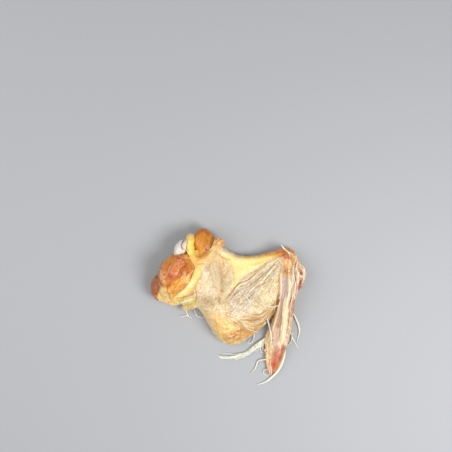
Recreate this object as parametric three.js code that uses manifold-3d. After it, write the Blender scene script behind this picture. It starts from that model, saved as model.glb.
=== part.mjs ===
// A raw chicken wing with all three joints, lying on a flat surface as it does on a chopping board.
// The shoulder end is at the back left, the elbow at the front and the wrist at the back right. The
// hand is folded forwards along the forearm, and a web of skin spans from the shoulder to the wrist.
// Millimetres, +Z up, the wing rests on z = 0. The bones run shoulder to elbow to wrist to tip.
import * as THREE from "three";
import { mergeVertices } from "three/addons/utils/BufferGeometryUtils.js";
import Module from "manifold-3d";

const wasm = await Module();
wasm.setup();

// Driving dimensions: the joints in plan, as a butcher would measure a large wing.
const shoulder = [-39.6, 46.4];
const elbow = [-1.6, -16];
const wrist = [48.8, 39.5];
const handTip = [32.8, -56.8];

const skinTopAtShoulder = 29; // height of the skin over the upper arm, next to the cut
const skinTopAtElbow = 20;
const forearmTop = 20.5;
const wristTop = 15;
const webTop = 9;
const webBottom = 4.2;
const rimHeight = 5.6; // where the upper and lower skin meet at the outline
const meatTop = 33.5; // the thickest muscle at the cut
const clearance = 0.35; // kept between neighbouring pieces
const restDepth = 1.6; // how far soft undersides would sink below the board before they flatten on it

const lerp = (a, b, t) => a + (b - a) * t;
const clamp01 = (t) => Math.min(1, Math.max(0, t));

// A smooth maximum: two surfaces meet with a fillet about k wide.
function smoothMax(a, b, k) {
  const h = Math.max(k - Math.abs(a - b), 0) / k;
  return Math.max(a, b) + (h * h * k) / 4;
}

// A smooth run through evenly spaced values, read at t from 0 to 1.
function runOf(values) {
  const curve = new THREE.CatmullRomCurve3(
    values.map((v, i) => new THREE.Vector3(i, v, 0)),
    false,
    "centripetal",
  );
  return (t) => curve.getPoint(clamp01(t)).y;
}

// The nearest place on a broken line in plan: its share of the length, and how far away it is.
function nearestOn(line, x, y) {
  let best = { t: 0, distance: Infinity };
  for (let i = 0; i + 1 < line.length; i += 1) {
    const [ax, ay] = line[i];
    const dx = line[i + 1][0] - ax;
    const dy = line[i + 1][1] - ay;
    const share = clamp01(((x - ax) * dx + (y - ay) * dy) / (dx * dx + dy * dy));
    const distance = Math.hypot(x - ax - dx * share, y - ay - dy * share);
    if (distance < best.distance) best = { t: (i + share) / (line.length - 1), distance };
  }
  return best;
}

// The height of a rounded ridge of flesh over a bone, which is blunt on top and steep at its foot.
function ridgeHeight(ridge, x, y) {
  const { t, distance } = nearestOn(ridge.line, x, y);
  const q = distance / ridge.halfWidth(t);
  return q < 1 ? ridge.top(t) * Math.pow(1 - q * q, ridge.blunt) : 0;
}

function closedSolid(geometry) {
  geometry.deleteAttribute("normal");
  geometry.deleteAttribute("uv");
  const merged = mergeVertices(geometry, 1e-4);
  return new wasm.Manifold(
    new wasm.Mesh({
      numProp: 3,
      vertProperties: merged.attributes.position.array,
      triVerts: new Uint32Array(merged.index.array),
    }),
  );
}

// A sphere drawn out along a path: its poles are the ends, and each ring takes the half width and
// half height that the piece has there. `grow` makes the same piece larger all round.
function limb({ path, halfWidth, halfHeight, blunt = 0.5, around = 16, along = 14 }, grow = 0) {
  const curve = new THREE.CatmullRomCurve3(path.map((p) => new THREE.Vector3(...p)));
  const widthAt = runOf(halfWidth);
  const heightAt = runOf(halfHeight);
  const up = new THREE.Vector3(0, 0, 1);
  const geometry = new THREE.SphereGeometry(1, around, along);
  const position = geometry.attributes.position;
  const spot = new THREE.Vector3();
  for (let i = 0; i < position.count; i += 1) {
    spot.fromBufferAttribute(position, i);
    const t = clamp01((1 - spot.y) / 2);
    const girth = Math.sqrt(Math.max(0, 1 - spot.y * spot.y));
    const turn = Math.atan2(spot.z, spot.x);
    const section = girth < 1e-6 ? 0 : Math.pow(girth, blunt);
    const tangent = curve.getTangentAt(t);
    const side = new THREE.Vector3().crossVectors(up, tangent).normalize();
    const top = new THREE.Vector3().crossVectors(tangent, side);
    const place = curve
      .getPointAt(t)
      .addScaledVector(tangent, -spot.y * grow)
      .addScaledVector(side, Math.cos(turn) * section * (widthAt(t) + grow))
      .addScaledVector(top, Math.sin(turn) * section * (heightAt(t) + grow));
    position.setXYZ(i, place.x, place.y, place.z);
  }
  const made = closedSolid(geometry);
  return made.volume() > 0 ? made : closedSolid(flipped(geometry));
}

function flipped(geometry) {
  const index = geometry.index.array;
  for (let i = 0; i < index.length; i += 3) [index[i + 1], index[i + 2]] = [index[i + 2], index[i + 1]];
  return geometry;
}

const joined = (solids) => solids.reduce((whole, next) => whole.add(next));
const limbs = (list, grow = 0) => joined(list.map((piece) => limb(piece, grow)));

// The upper arm, forearm and web are one skin. Its outline in plan, clockwise from the shoulder.
const bodyOutline = [
  [-16.8, 51],
  [-3.2, 47],
  [4.4, 41.8],
  [17.3, 40.4],
  [28.6, 42.2],
  [38, 45],
  [47.8, 47],
  [54.5, 42],
  [56, 29],
  [50.4, 12.8],
  [42.4, -1.6],
  [33.6, -12],
  [17.8, -24.8],
  [3.6, -31.6],
  [-8.2, -26.4],
  [-15.8, -14.6],
  [-23.1, -3.4],
  [-33, 2],
  [-43.2, 9],
  [-43, 27],
  [-33.6, 41],
];
const bodyCentre = [7, 13];

const upperArm = {
  line: [[-30, 41], [-18, 13], elbow],
  halfWidth: runOf([22, 19.5, 15]),
  top: runOf([skinTopAtShoulder, 27, skinTopAtElbow]),
  blunt: 0.55,
};
const forearm = {
  line: [[1, -15], [27.6, 8], [45.5, 36]],
  halfWidth: runOf([16, 18, 11]),
  top: runOf([skinTopAtElbow - 1, forearmTop, wristTop]),
  blunt: 0.6,
};
const wristPad = {
  line: [[43, 41], [51, 36]],
  halfWidth: runOf([9.5, 10.5]),
  top: runOf([wristTop, wristTop + 1]),
  blunt: 0.55,
};
const elbowPad = {
  line: [[-3, -14], [5, -20]],
  halfWidth: runOf([13.5, 12]),
  top: runOf([skinTopAtElbow, skinTopAtElbow - 3]),
  blunt: 0.5,
};
// The skin is thick where it fills the inside of the bent elbow.
const innerElbow = {
  line: [[elbow[0] + 2, elbow[1] + 8], [4, 8], [9, 24]],
  halfWidth: runOf([22, 20, 15]),
  top: runOf([18, 16.5, webTop + 1]),
  blunt: 0.9,
};
const webEdge = {
  line: [[-12, 47], [4, 38.4], [17, 37.4], [30, 39.4], [46, 43]],
  halfWidth: runOf([8, 5.5, 5, 5, 7]),
  top: runOf([22, 12.5, 11.2, 11.6, 14]),
  blunt: 0.5,
};

function bodyTop(x, y) {
  const fillet = 10;
  return [upperArm, forearm, elbowPad, innerElbow, webEdge, wristPad]
    .map((ridge) => ridgeHeight(ridge, x, y))
    .reduce((height, next) => smoothMax(height, next, fillet), webTop);
}

// Underneath, each fleshy run sags to the board and flattens on it, and the web stays clear of it.
function bodyBottom(x, y) {
  const bellyShare = 0.85; // of the run's half width
  const depths = [upperArm, forearm, elbowPad].map((ridge) => {
    const { t, distance } = nearestOn(ridge.line, x, y);
    const q = distance / (ridge.halfWidth(t) * bellyShare);
    return q < 1 ? Math.sqrt(1 - q * q) * (webBottom + restDepth) : 0;
  });
  return webBottom - depths.reduce((deepest, next) => smoothMax(deepest, next, 2), 0);
}

// A flattened sphere whose rings follow the outline, with the top and bottom raised to the flesh.
function bodySkin() {
  const around = 72;
  const rings = 26;
  const topEdge = 9; // how far in from the outline the upper skin reaches its height
  const bottomEdge = 6;
  const ringSpread = 0.8; // under 1 the rings crowd towards the outline
  const outline = new THREE.CatmullRomCurve3(
    bodyOutline.map(([x, y]) => new THREE.Vector3(x, y, 0)),
    true,
  );
  const rim = outline.getSpacedPoints(around).slice(0, around);
  const geometry = new THREE.SphereGeometry(1, around, rings);
  const position = geometry.attributes.position;
  const spot = new THREE.Vector3();
  for (let i = 0; i < position.count; i += 1) {
    spot.fromBufferAttribute(position, i);
    const column = i % (around + 1) % around;
    const polar = Math.acos(THREE.MathUtils.clamp(spot.y, -1, 1));
    const upper = polar <= Math.PI / 2;
    const share = 1 - Math.abs(polar / (Math.PI / 2) - 1);
    const out = Math.pow(share, ringSpread);
    const edge = rim[column];
    const x = lerp(bodyCentre[0], edge.x, out);
    const y = lerp(bodyCentre[1], edge.y, out);
    const inward = (1 - out) * Math.hypot(edge.x - bodyCentre[0], edge.y - bodyCentre[1]);
    const q = 1 - clamp01(inward / (upper ? topEdge : bottomEdge));
    const fullness = Math.sqrt(1 - q * q);
    const goal = upper ? bodyTop(x, y) : bodyBottom(x, y);
    position.setXYZ(i, x, y, share > 1 - 1e-9 ? rimHeight : lerp(rimHeight, goal, fullness));
  }
  const made = closedSolid(geometry);
  return made.volume() > 0 ? made : closedSolid(flipped(geometry));
}

// The hand: palm and long digit, the trailing skin beside it and the thumb along its outer edge.
const hand = {
  path: [
    [wrist[0] + 0.6, wrist[1], 9.5],
    [50.6, 28, 13.5],
    [49.2, 13, 13],
    [46, -4, 10.5],
    [42, -19, 7.4],
    [39.6, -31, 5.6],
    [38.2, -41, 4.4],
    [36.2, -50, 3.2],
    [handTip[0], handTip[1], 2.4],
  ],
  halfWidth: [8, 8.6, 8.2, 8.4, 8.8, 8.6, 8, 6.4, 2],
  halfHeight: [8, 6.2, 6, 6, 5.6, 5.2, 4.4, 3.2, 1.6],
  around: 16,
  along: 24,
};
const trailingSkin = {
  path: [[33.8, -18, 4.2], [32.8, -27, 3.6], [33.2, -38, 3], [33.4, -49, 2.4], [33.4, -56.6, 2]],
  halfWidth: [2.4, 3.9, 3.5, 2.9, 1.4],
  halfHeight: [2.6, 2.8, 2.6, 2.2, 1.4],
  around: 12,
  along: 14,
};
const thumb = {
  path: [[53.5, 41, 9], [57.4, 31, 10.5], [57.4, 21, 10], [56, 12, 9]],
  halfWidth: [4.6, 4.4, 3.6, 1.2],
  halfHeight: [5.6, 5, 4.2, 1.6],
  around: 14,
  along: 14,
};

// The skin's cut edge is rolled up and fatty. It runs across the upper arm and ends in a loose flap.
const skinEdge = {
  path: [
    [-9, 50.5, 15],
    [-13, 42.6, 20.5],
    [-18.8, 36.4, 25],
    [-22.8, 28.6, 27.6],
    [-27.4, 20, 27.4],
    [-33.4, 13.2, 24.6],
    [-41, 7.4, 18.6],
    [-45.6, 4.6, 13],
  ],
  halfWidth: [3.4, 3.2, 3.4, 3.4, 3.6, 3.8, 3.6, 2],
  halfHeight: [3.4, 2.8, 2.6, 2.6, 2.6, 2.6, 2.6, 2],
  around: 10,
  along: 22,
};
const looseFlap = {
  path: [[-30, 10.5, 22], [-32, 4, 17.5], [-34, -0.6, 10], [-34.8, -3.6, 4]],
  halfWidth: [6, 8.4, 6, 1.4],
  halfHeight: [1.4, 1.5, 1.3, 1],
  around: 14,
  along: 14,
};
const edgeKnob = {
  path: [[-12.6, 50.4, 14], [-7.6, 51.4, 14], [-3.4, 47.6, 12]],
  halfWidth: [3, 3.8, 3],
  halfHeight: [3.4, 4.4, 3.4],
  around: 12,
  along: 10,
};

// The plan line along which the skin was cut when the wing came off the carcass.
const cutLine = [
  [-9, 60],
  [-12.4, 47],
  [-18, 39.6],
  [-24.5, 36.6],
  [-25.4, 29],
  [-30, 20.6],
  [-35, 15],
  [-42, 9.6],
  [-52, 2],
];

function skinCutter() {
  const tall = 80;
  const shape = new THREE.Shape([
    ...cutLine.map(([x, y]) => new THREE.Vector2(x, y)),
    new THREE.Vector2(-90, 2),
    new THREE.Vector2(-90, 90),
    new THREE.Vector2(-9, 90),
  ]);
  const geometry = new THREE.ExtrudeGeometry(shape, { depth: tall, bevelEnabled: false });
  geometry.translate(0, 0, -tall / 2);
  return closedSolid(geometry);
}

// The bare muscles of the shoulder: each runs in under the skin or up to the bone.
const muscles = [
  {
    // the thick muscle on top of the cut
    path: [[-23, 41.6, 13], [-32, 33.6, 15.6], [-40.6, 26, 16.8], [-46.4, 15.6, 14.6], [-48.4, 7, 11]],
    halfWidth: [8.5, 12.4, 14.8, 11, 6.6],
    halfHeight: [10, 14.6, meatTop - 16.8, 14, 8.6],
    around: 18,
    along: 16,
  },
  {
    // the darker muscle beneath it, which shows at the side
    path: [[-48.6, 27, 9.6], [-53.6, 14.8, 9.4], [-51, 4, 9]],
    halfWidth: [6.4, 8.4, 6.4],
    halfHeight: [8, 9.9, 7.8],
    around: 14,
    along: 12,
  },
  {
    // the fatty end of the muscle, under the flap
    path: [[-51, 8.4, 9], [-45, 5, 9], [-36, 1.6, 8.6]],
    halfWidth: [5.4, 6.6, 5],
    halfHeight: [8.8, 9.6, 7.6],
    around: 12,
    along: 10,
  },
  {
    // the lobe behind the bone
    path: [[-20.4, 62, 9.6], [-19.6, 54, 11], [-18.6, 45, 12.6], [-17.4, 36, 13]],
    halfWidth: [6.6, 8.6, 8.6, 7],
    halfHeight: [8.4, 10.8, 11, 9],
    around: 14,
    along: 12,
  },
  {
    // the rest of the upper arm, under the skin
    path: [[-30, 38, 14], [-19.6, 18, 13.4], [-10.6, 2, 11.6], [-4.4, -9.4, 10.6]],
    halfWidth: [12, 13, 10.6, 6],
    halfHeight: [11, 10.4, 8.6, 5],
    around: 14,
    along: 12,
  },
];

// The upper arm bone: a shaft through the meat, with a two-part head capped in cartilage.
const bone = [
  {
    path: [[-35.6, 43.4, 16], [-28, 30.5, 14.5], [-14, 7, 12], [-6.4, -5.6, 11]],
    halfWidth: [5.4, 3.4, 3.2, 4.4],
    halfHeight: [5.4, 3.4, 3.2, 4],
    blunt: 0.4,
    around: 10,
    along: 12,
  },
  {
    path: [[-40.2, 39.6, 15], [-37.8, 45.6, 17], [-34.6, 53, 16.4]],
    halfWidth: [3.8, 4.6, 3.4],
    halfHeight: [6, 7.4, 6],
    around: 14,
    along: 12,
  },
  {
    path: [[-36.4, 41.8, 17], [-34.2, 47.8, 18.6], [-32.4, 53.6, 17.6]],
    halfWidth: [3, 3.5, 2.8],
    halfHeight: [5.4, 6.2, 5],
    around: 12,
    along: 10,
  },
];

const fatStrip = [
  {
    path: [[-29.2, 56.6, 14], [-29.8, 50, 19], [-28.6, 43, 24], [-25.6, 38.6, 27]],
    halfWidth: [3.6, 3.7, 3.2, 2.2],
    halfHeight: [5.4, 5, 4, 2.2],
    blunt: 0.4,
    around: 14,
    along: 12,
  },
];

// Feather shafts that plucking left behind. They lie on the board beside the wing.
const wispFeather = {
  path: [
    [30.4, -25, 2.6],
    [25, -31.6, 1.5],
    [16.2, -37.4, 1.3],
    [7.6, -40.6, 1.2],
    [-2, -42.2, 1.1],
    [-11, -39.6, 0.9],
  ],
  halfWidth: [1.4, 2.6, 2.2, 1.5, 0.9, 0.4],
  halfHeight: [0.8, 0.9, 0.8, 0.7, 0.6, 0.4],
  around: 8,
  along: 18,
};
const tipFeather = {
  path: [[47.2, -35.4, 2.6], [45, -47.4, 1.8], [38.6, -57.2, 1.3], [31.4, -62.4, 1.1], [23.6, -64.6, 0.9]],
  halfWidth: [0.6, 1.1, 1.2, 0.9, 0.35],
  halfHeight: [0.5, 0.8, 0.8, 0.6, 0.35],
  around: 8,
  along: 16,
};

const material = (color, roughness) => new THREE.MeshStandardMaterial({ color, roughness, metalness: 0 });
const skinMaterial = material(0xe3c48a, 0.38);
const meatMaterial = material(0xc4702f, 0.3);
const fatMaterial = material(0xf0cc52, 0.35);
const cartilageMaterial = material(0xe6e4e2, 0.22);
const featherMaterial = material(0xf1ead2, 0.6);

function belowBoard() {
  const slab = new THREE.BoxGeometry(300, 300, 40);
  slab.translate(0, 0, -20);
  return closedSolid(slab);
}

const board = belowBoard();
const grownMuscles = limbs(muscles, clearance);
const grownBone = limbs(bone, clearance);
const grownFat = limbs(fatStrip, clearance);

const wholeBody = bodySkin().subtract(skinCutter());
const skinSolid = joined([wholeBody, limbs([hand, trailingSkin, thumb, skinEdge, looseFlap, edgeKnob])])
  .subtract(grownMuscles)
  .subtract(grownBone)
  .subtract(board);
const meatSolid = limbs(muscles).subtract(grownBone).subtract(grownFat).subtract(board);
const boneSolid = limbs(bone);
const fatSolid = limbs(fatStrip).subtract(grownBone).subtract(limbs([skinEdge, edgeKnob], clearance));
const grownSkin = limbs([hand, trailingSkin, thumb], clearance);
const wispSolid = limb(wispFeather).subtract(grownSkin);
const tipSolid = limb(tipFeather).subtract(grownSkin);

// Booleans can leave a crumb behind: only the largest body of each piece is the piece.
function largest(solid) {
  return solid.decompose().reduce((best, next) => (next.volume() > best.volume() ? next : best));
}

function meshOf(name, solid, look) {
  const kept = largest(solid);
  const { vertProperties, triVerts, numProp, numVert } = kept.getMesh();
  const places = new Float32Array(numVert * 3);
  for (let i = 0; i < numVert; i += 1) {
    places.set(vertProperties.subarray(i * numProp, i * numProp + 3), i * 3);
  }
  const geometry = new THREE.BufferGeometry();
  geometry.setAttribute("position", new THREE.BufferAttribute(places, 3));
  geometry.setIndex(new THREE.BufferAttribute(triVerts, 1));
  geometry.computeVertexNormals();
  const mesh = new THREE.Mesh(geometry, look);
  mesh.name = name;
  return mesh;
}

const wing = new THREE.Group();
wing.add(
  meshOf("wing_skin", skinSolid, skinMaterial),
  meshOf("shoulder_meat", meatSolid, meatMaterial),
  meshOf("humerus", boneSolid, cartilageMaterial),
  meshOf("shoulder_fat", fatSolid, fatMaterial),
  meshOf("wisp_feather", wispSolid, featherMaterial),
  meshOf("tip_feather", tipSolid, featherMaterial),
);

// The origin is the middle of the wing's footprint, on the board.
const footprint = new THREE.Box3().setFromObject(wing);
const middle = footprint.getCenter(new THREE.Vector3());
wing.children.forEach((mesh) => mesh.position.set(-middle.x, -middle.y, 0));

export default wing;
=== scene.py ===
import math
import random

import bmesh
import bpy
import numpy as np
from mathutils import Matrix, Vector, noise
from mathutils.bvhtree import BVHTree
from mathutils.kdtree import KDTree


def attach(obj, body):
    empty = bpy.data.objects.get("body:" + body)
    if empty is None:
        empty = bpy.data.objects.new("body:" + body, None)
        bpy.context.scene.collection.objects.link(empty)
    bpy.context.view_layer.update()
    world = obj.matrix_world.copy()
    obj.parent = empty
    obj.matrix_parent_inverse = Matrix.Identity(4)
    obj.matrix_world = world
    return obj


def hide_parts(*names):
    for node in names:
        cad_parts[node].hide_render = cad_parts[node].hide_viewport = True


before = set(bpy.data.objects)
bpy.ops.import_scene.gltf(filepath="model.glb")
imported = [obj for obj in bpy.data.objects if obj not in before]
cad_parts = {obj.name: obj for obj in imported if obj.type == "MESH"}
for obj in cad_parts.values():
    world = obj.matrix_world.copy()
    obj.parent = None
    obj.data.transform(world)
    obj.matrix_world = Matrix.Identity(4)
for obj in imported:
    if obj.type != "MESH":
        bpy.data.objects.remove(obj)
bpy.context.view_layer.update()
print("packed wing loaded:", ", ".join(sorted(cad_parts)))

# Sizes are millimetres until a mesh is written. Plan places are read at one height above the board,
# straight from above, and are carried to the surface along the line of sight.
mm = 0.001

viewing = {
    "over": (-1.65, 65.15),  # the spot on the board under the camera
    "height": 560.0,
    "planHeight": 6.0,  # where the plan places are true to size
    "planWidth": 361.6,  # what the picture spans at that height
    "sensor": 36.0,
}

scene = bpy.context.scene
scene.view_settings.view_transform = "Standard"


def makeCamera():
    lens = bpy.data.cameras.new("overheadCamera")
    lens.sensor_width = viewing["sensor"]
    lens.lens = viewing["sensor"] * (viewing["height"] - viewing["planHeight"]) / viewing["planWidth"]
    lens.clip_start = 10 * mm
    lens.clip_end = 20.0
    camera = bpy.data.objects.new("overheadCamera", lens)
    camera.location = Vector((*viewing["over"], viewing["height"])) * mm  # it looks straight down
    scene.collection.objects.link(camera)
    scene.camera = camera


makeCamera()


# Reading and writing a mesh as rows of numbers

def readPoints(mesh):
    flat = np.empty(len(mesh.vertices) * 3)
    mesh.vertices.foreach_get("co", flat)
    return flat.reshape(-1, 3) / mm


def writePoints(mesh, points):
    mesh.vertices.foreach_set("co", (points * mm).ravel())
    mesh.update()


def readNormals(mesh):
    flat = np.empty(len(mesh.vertices) * 3)
    mesh.vertex_normals.foreach_get("vector", flat)
    return flat.reshape(-1, 3)


def ramp(value, start, end):
    share = np.clip((value - start) / (end - start), 0, 1)
    return share * share * (3 - 2 * share)


def grain(points, pitch, seed=0.0):
    # smooth noise, mostly between -0.6 and 0.6, with lumps about `pitch` wide
    scaled = points / pitch
    if scaled.shape[1] == 2:
        scaled = np.column_stack([scaled, np.zeros(len(scaled))])
    scaled = scaled + (seed * 7.3, seed * 3.1, seed * 5.7)
    return np.array([noise.noise(place) for place in scaled.tolist()])


def cobbles(points, pitch):
    # rounded bumps, 1 on top, between creases where it falls to 0
    walls = np.array([noise.voronoi(place)[0] for place in (points / pitch).tolist()])
    return ramp(walls[:, 1] - walls[:, 0], 0.0, 0.45)


def wrinkles(points, pitch, seed):
    # fine crepe: narrow valleys and broad crests, each 0 to 1
    height = grain(points, pitch, seed) * 2
    return np.exp(-(height / 0.2) ** 2), ramp(np.abs(height), 0.45, 0.9)


def planOf(points):
    # where each point shows from above, as a plan place
    eye = np.array(viewing["over"])
    reach = (viewing["height"] - viewing["planHeight"]) / (viewing["height"] - points[:, 2:3])
    return eye + (points[:, :2] - eye) * reach


# Lines and outlines in plan

def smoothPath(points, step=0.7, closed=False):
    knots = np.array(points, float)
    if closed:
        knots = np.vstack([knots[-1:], knots, knots[:2]])
    else:
        knots = np.vstack([2 * knots[0] - knots[1], knots, 2 * knots[-1] - knots[-2]])
    runs = []
    for before, start, end, after in zip(knots, knots[1:], knots[2:], knots[3:]):
        count = max(2, int(np.linalg.norm(end - start) / step) + 1)
        t = np.linspace(0, 1, count, endpoint=False)[:, None]
        runs.append(
            0.5 * (2 * start + (end - before) * t + (2 * before - 5 * start + 4 * end - after) * t**2
                   + (3 * start - before - 3 * end + after) * t**3)
        )
    return np.vstack(runs + [knots[-2:-1]])


def alongPath(where, points, reach=1e3, step=1.4):
    # for each place: its share of the path, its distance to the left of it, and its plain distance
    path = smoothPath(points, step)
    lengths = np.linalg.norm(np.diff(path, axis=0), axis=1)
    starts = np.concatenate([[0], np.cumsum(lengths)])
    low, high = path.min(0) - reach, path.max(0) + reach
    near = np.flatnonzero(((where > low) & (where < high)).all(1))
    spots = where[near]
    best = np.full(len(near), 1e6)
    share = np.zeros(len(near))
    side = np.full(len(near), 1e3)
    for index, (start, end) in enumerate(zip(path, path[1:])):
        run = end - start
        part = np.clip((spots - start) @ run / (run @ run), 0, 1)
        gap = spots - start - part[:, None] * run
        square = (gap**2).sum(1)
        closer = square < best
        best[closer] = square[closer]
        share[closer] = (starts[index] + part[closer] * lengths[index]) / starts[-1]
        side[closer] = ((run[0] * gap[:, 1] - run[1] * gap[:, 0]) / lengths[index])[closer]
    shares, sides, distances = np.zeros(len(where)), np.full(len(where), 1e3), np.full(len(where), 1e3)
    shares[near], sides[near], distances[near] = share, side, np.sqrt(best)
    return shares, sides, distances


def stroke(where, points, width, tail=0.12):
    # 1 on a line, nothing past `width` to either side, thinner towards its ends
    share, side, distance = alongPath(where, points, width * 1.5)
    ends = ramp(share, 0, tail) * ramp(1 - share, 0, tail) if tail else 1.0
    return np.clip(1 - (distance / width) ** 2, 0, 1) ** 2 * ends


def band(where, points, halfWidth, soft=1.5):
    # 1 within `halfWidth` of a line, blending out over `soft`
    share, side, distance = alongPath(where, points, halfWidth + soft)
    return ramp(-distance, -halfWidth - soft / 2, -halfWidth + soft / 2)


def spot(where, centre, radius):
    distance = np.linalg.norm(where - np.array(centre), axis=1)
    return np.clip(1 - (distance / radius) ** 2, 0, 1) ** 1.5


def zone(where, outline, soft=3.0):
    # 1 inside a closed outline, blending out over `soft`
    path = smoothPath(outline, 2.0, closed=True)
    inside = np.zeros(len(where), bool)
    for (startX, startY), (endX, endY) in zip(path, np.roll(path, -1, axis=0)):
        if startY != endY:
            crosses = (startY > where[:, 1]) != (endY > where[:, 1])
            edgeX = startX + (where[:, 1] - startY) / (endY - startY) * (endX - startX)
            inside ^= crosses & (where[:, 0] < edgeX)
    distance = alongPath(where, np.vstack([path, path[:1]]), soft, step=9.0)[2]
    return ramp(np.where(inside, distance, -distance), -soft / 2, soft / 2)


def folds(where, first, second, count, run, seed, wander=0.6):
    # folds that flow between two guide lines: `count` across, each about `run` long. Gives the
    # grooves, the taut strands and the blotches (0 to 1), and the swells between grooves (-1 to 1).
    shareOne, sideOne, gapOne = alongPath(where, first)
    shareTwo, sideTwo, gapTwo = alongPath(where, second)
    facing = 1.0 if np.median(alongPath(np.array(second, float), first)[1]) > 0 else -1.0
    across = gapOne / (gapOne + gapTwo)
    share = shareOne * (1 - across) + shareTwo * across
    length = np.linalg.norm(np.diff(np.array(first, float), axis=0), axis=1).sum()
    inside = ramp(sideOne * facing, -0.6, 1.0) * ramp(-sideTwo * facing, -0.6, 1.0)
    inside *= ramp(share, 0.0, 0.07) * ramp(1 - share, 0.0, 0.07)
    drift = grain(where, 9.0, seed + 0.5) * wander
    flow = np.column_stack([share * length / run, across * count + drift])
    swell = grain(flow, 1.0, seed) * 1.7
    fine = grain(flow * (1.2, 1.8), 1.0, seed + 2) * 1.7
    taut = grain(flow * (0.7, 1.3), 1.0, seed + 4) * 1.7
    blotch = ramp(grain(flow * (1.0, 0.6), 1.0, seed + 6) * 1.7, -0.1, 0.6)
    groove = np.maximum(np.exp(-(swell / 0.15) ** 2), 0.6 * np.exp(-(fine / 0.13) ** 2))
    strand = np.exp(-(taut / 0.14) ** 2) * (1 - 0.7 * groove)
    return groove * inside, strand * inside, blotch * inside, np.clip(swell, -1, 1) * inside


shapes = {"spot": spot, "band": band, "stroke": stroke}


def huesOf(table):
    return {name: np.array(value) / 255 for name, value in table.items()}


class Surface:
    # the points of a piece, with the relief and the paint laid on them before they are written back
    def __init__(self, piece, hues, base, raggedness=1.0):
        self.piece = piece
        self.hues = hues
        self.points = readPoints(piece.data)
        self.normals = readNormals(piece.data)
        self.plan = planOf(self.points)
        coarse, fine = (np.column_stack([grain(self.plan, pitch, seed) for seed in seeds])
                        for pitch, seeds in ((3.2, (11, 12)), (1.3, (13, 14))))
        self.ragged = self.plan + raggedness * coarse + 0.5 * raggedness * fine  # uneven edges for paint
        self.upward = ramp(self.normals[:, 2], -0.15, 0.3)  # marks seen from above fade underneath
        self.lift = np.zeros(len(self.points))
        self.tint = np.tile(hues[base], (len(self.points), 1))
        self.wet = np.zeros(len(self.points))

    def shareOf(self, mask, strength, everywhere=False):
        return (np.clip(mask * strength, 0, 1) * (1.0 if everywhere else self.upward))[:, None]

    def paint(self, mask, colour, strength=1.0, everywhere=False):
        share = self.shareOf(mask, strength, everywhere)
        self.tint = self.tint * (1 - share) + self.hues[colour] * share

    def shade(self, mask, colour, strength):
        # darkens or warms by a colour, keeping what is underneath
        share = self.shareOf(mask, strength)
        self.tint = self.tint * (1 - share + self.hues[colour] * share)

    def carve(self, mask, depth, everywhere=False):
        self.lift += mask * depth * (1.0 if everywhere else self.upward)

    def pinch(self, centre, radius, share):
        # draws the surface together towards a plan place
        offset = np.array(centre) - self.plan
        self.points[:, :2] += offset * (spot(self.plan, centre, radius) * share)[:, None]

    def crinkle(self, folded, depth, dark, pale, patchy=None):
        # dark, pale and patchy are each a colour and its strength
        groove, strand, blotch, swell = folded
        # the grooves get painted shade and the taut strands a painted highlight; blotches keep their own
        # colour
        self.carve(0.6 * swell + 0.7 * strand - groove, depth)
        if patchy:
            self.paint(blotch, *patchy)
        self.shade(groove, *dark)
        self.paint(strand, *pale)

    def crepe(self, wrinkled, mask, depth, dark, pale, everywhere=False):
        valley, crest = wrinkled
        # painted shade in the valleys and painted highlight on the crests
        self.carve((crest * 0.6 - valley) * mask, depth, everywhere)
        self.shade(valley * mask, *dark)
        self.paint(crest * mask, *pale)

    def crease(self, rows, dark, narrowing, pale):
        # single folds: each a line, its half width and its height, where a groove is negative
        for line, width, height in rows:
            mark = stroke(self.plan, line, width)
            self.carve(mark, height)
            # a groove is darkened along its middle with painted shade; a ridge is painted with the pale
            # colour given
            if height < 0:
                inner = stroke(self.plan, line, width * narrowing)
                self.shade(inner, dark, min(0.7, -0.9 * height, 1.1 / width))
            else:
                self.paint(mark, *pale)

    def lay(self, rows, zones=(), allRound=()):
        # a row of paint is a zone's name, or a shape with its place and sizes, then a colour and its
        # strength. A row of folds has two guide lines, (count, run, seed, wander), depth and colours.
        # in a row of folds the colours are painted shade for the grooves, painted highlight for the
        # strands, and a blotch colour
        for kind, *rest in rows:
            if kind == "folds":
                first, second, pattern, *relief = rest
                self.crinkle(folds(self.plan, first, second, *pattern), *relief)
            else:
                *sizes, colour, strength = rest
                mask = zones[kind] if kind in zones else shapes[kind](self.ragged, *sizes)
                self.paint(mask, colour, strength, colour in allRound)

    def finish(self):
        mesh = self.piece.data
        points = self.points + self.normals * self.lift[:, None]
        points[:, 2] = np.maximum(points[:, 2], 0.0)  # nothing sinks into the board
        writePoints(mesh, points)
        writeTint(mesh, np.clip(self.tint, 0, 1))
        wetness = mesh.attributes.new("wet", "FLOAT", "POINT")
        wetness.data.foreach_set("value", np.clip(self.wet, 0, 1))
        mesh.shade_smooth()


def writeTint(mesh, tint):
    layer = mesh.color_attributes.new("tint", "FLOAT_COLOR", "POINT")
    layer.data.foreach_set("color", np.column_stack([tint ** 2.2, np.ones(len(tint))]).ravel())


# Turning a plain solid into an even, soft mesh

def meshOf(form, name):
    mesh = bpy.data.meshes.new(name)
    form.to_mesh(mesh)
    form.free()
    return mesh


def addPiece(name, mesh):
    piece = bpy.data.objects.new(name, mesh)
    scene.collection.objects.link(piece)
    return piece


def modify(piece, kind, **settings):
    # adds a modifier and applies it at once
    modifier = piece.modifiers.new(kind.lower(), kind)
    for name, value in settings.items():
        setattr(modifier, name, value)
    graph = bpy.context.evaluated_depsgraph_get()
    finished = bpy.data.meshes.new_from_object(piece.evaluated_get(graph))
    spare = piece.data
    piece.modifiers.clear()
    piece.data = finished
    bpy.data.meshes.remove(spare)


def relax(form, factor):
    bmesh.ops.smooth_vert(form, verts=form.verts, factor=factor, use_axis_x=True, use_axis_y=True,
                          use_axis_z=True)


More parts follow.
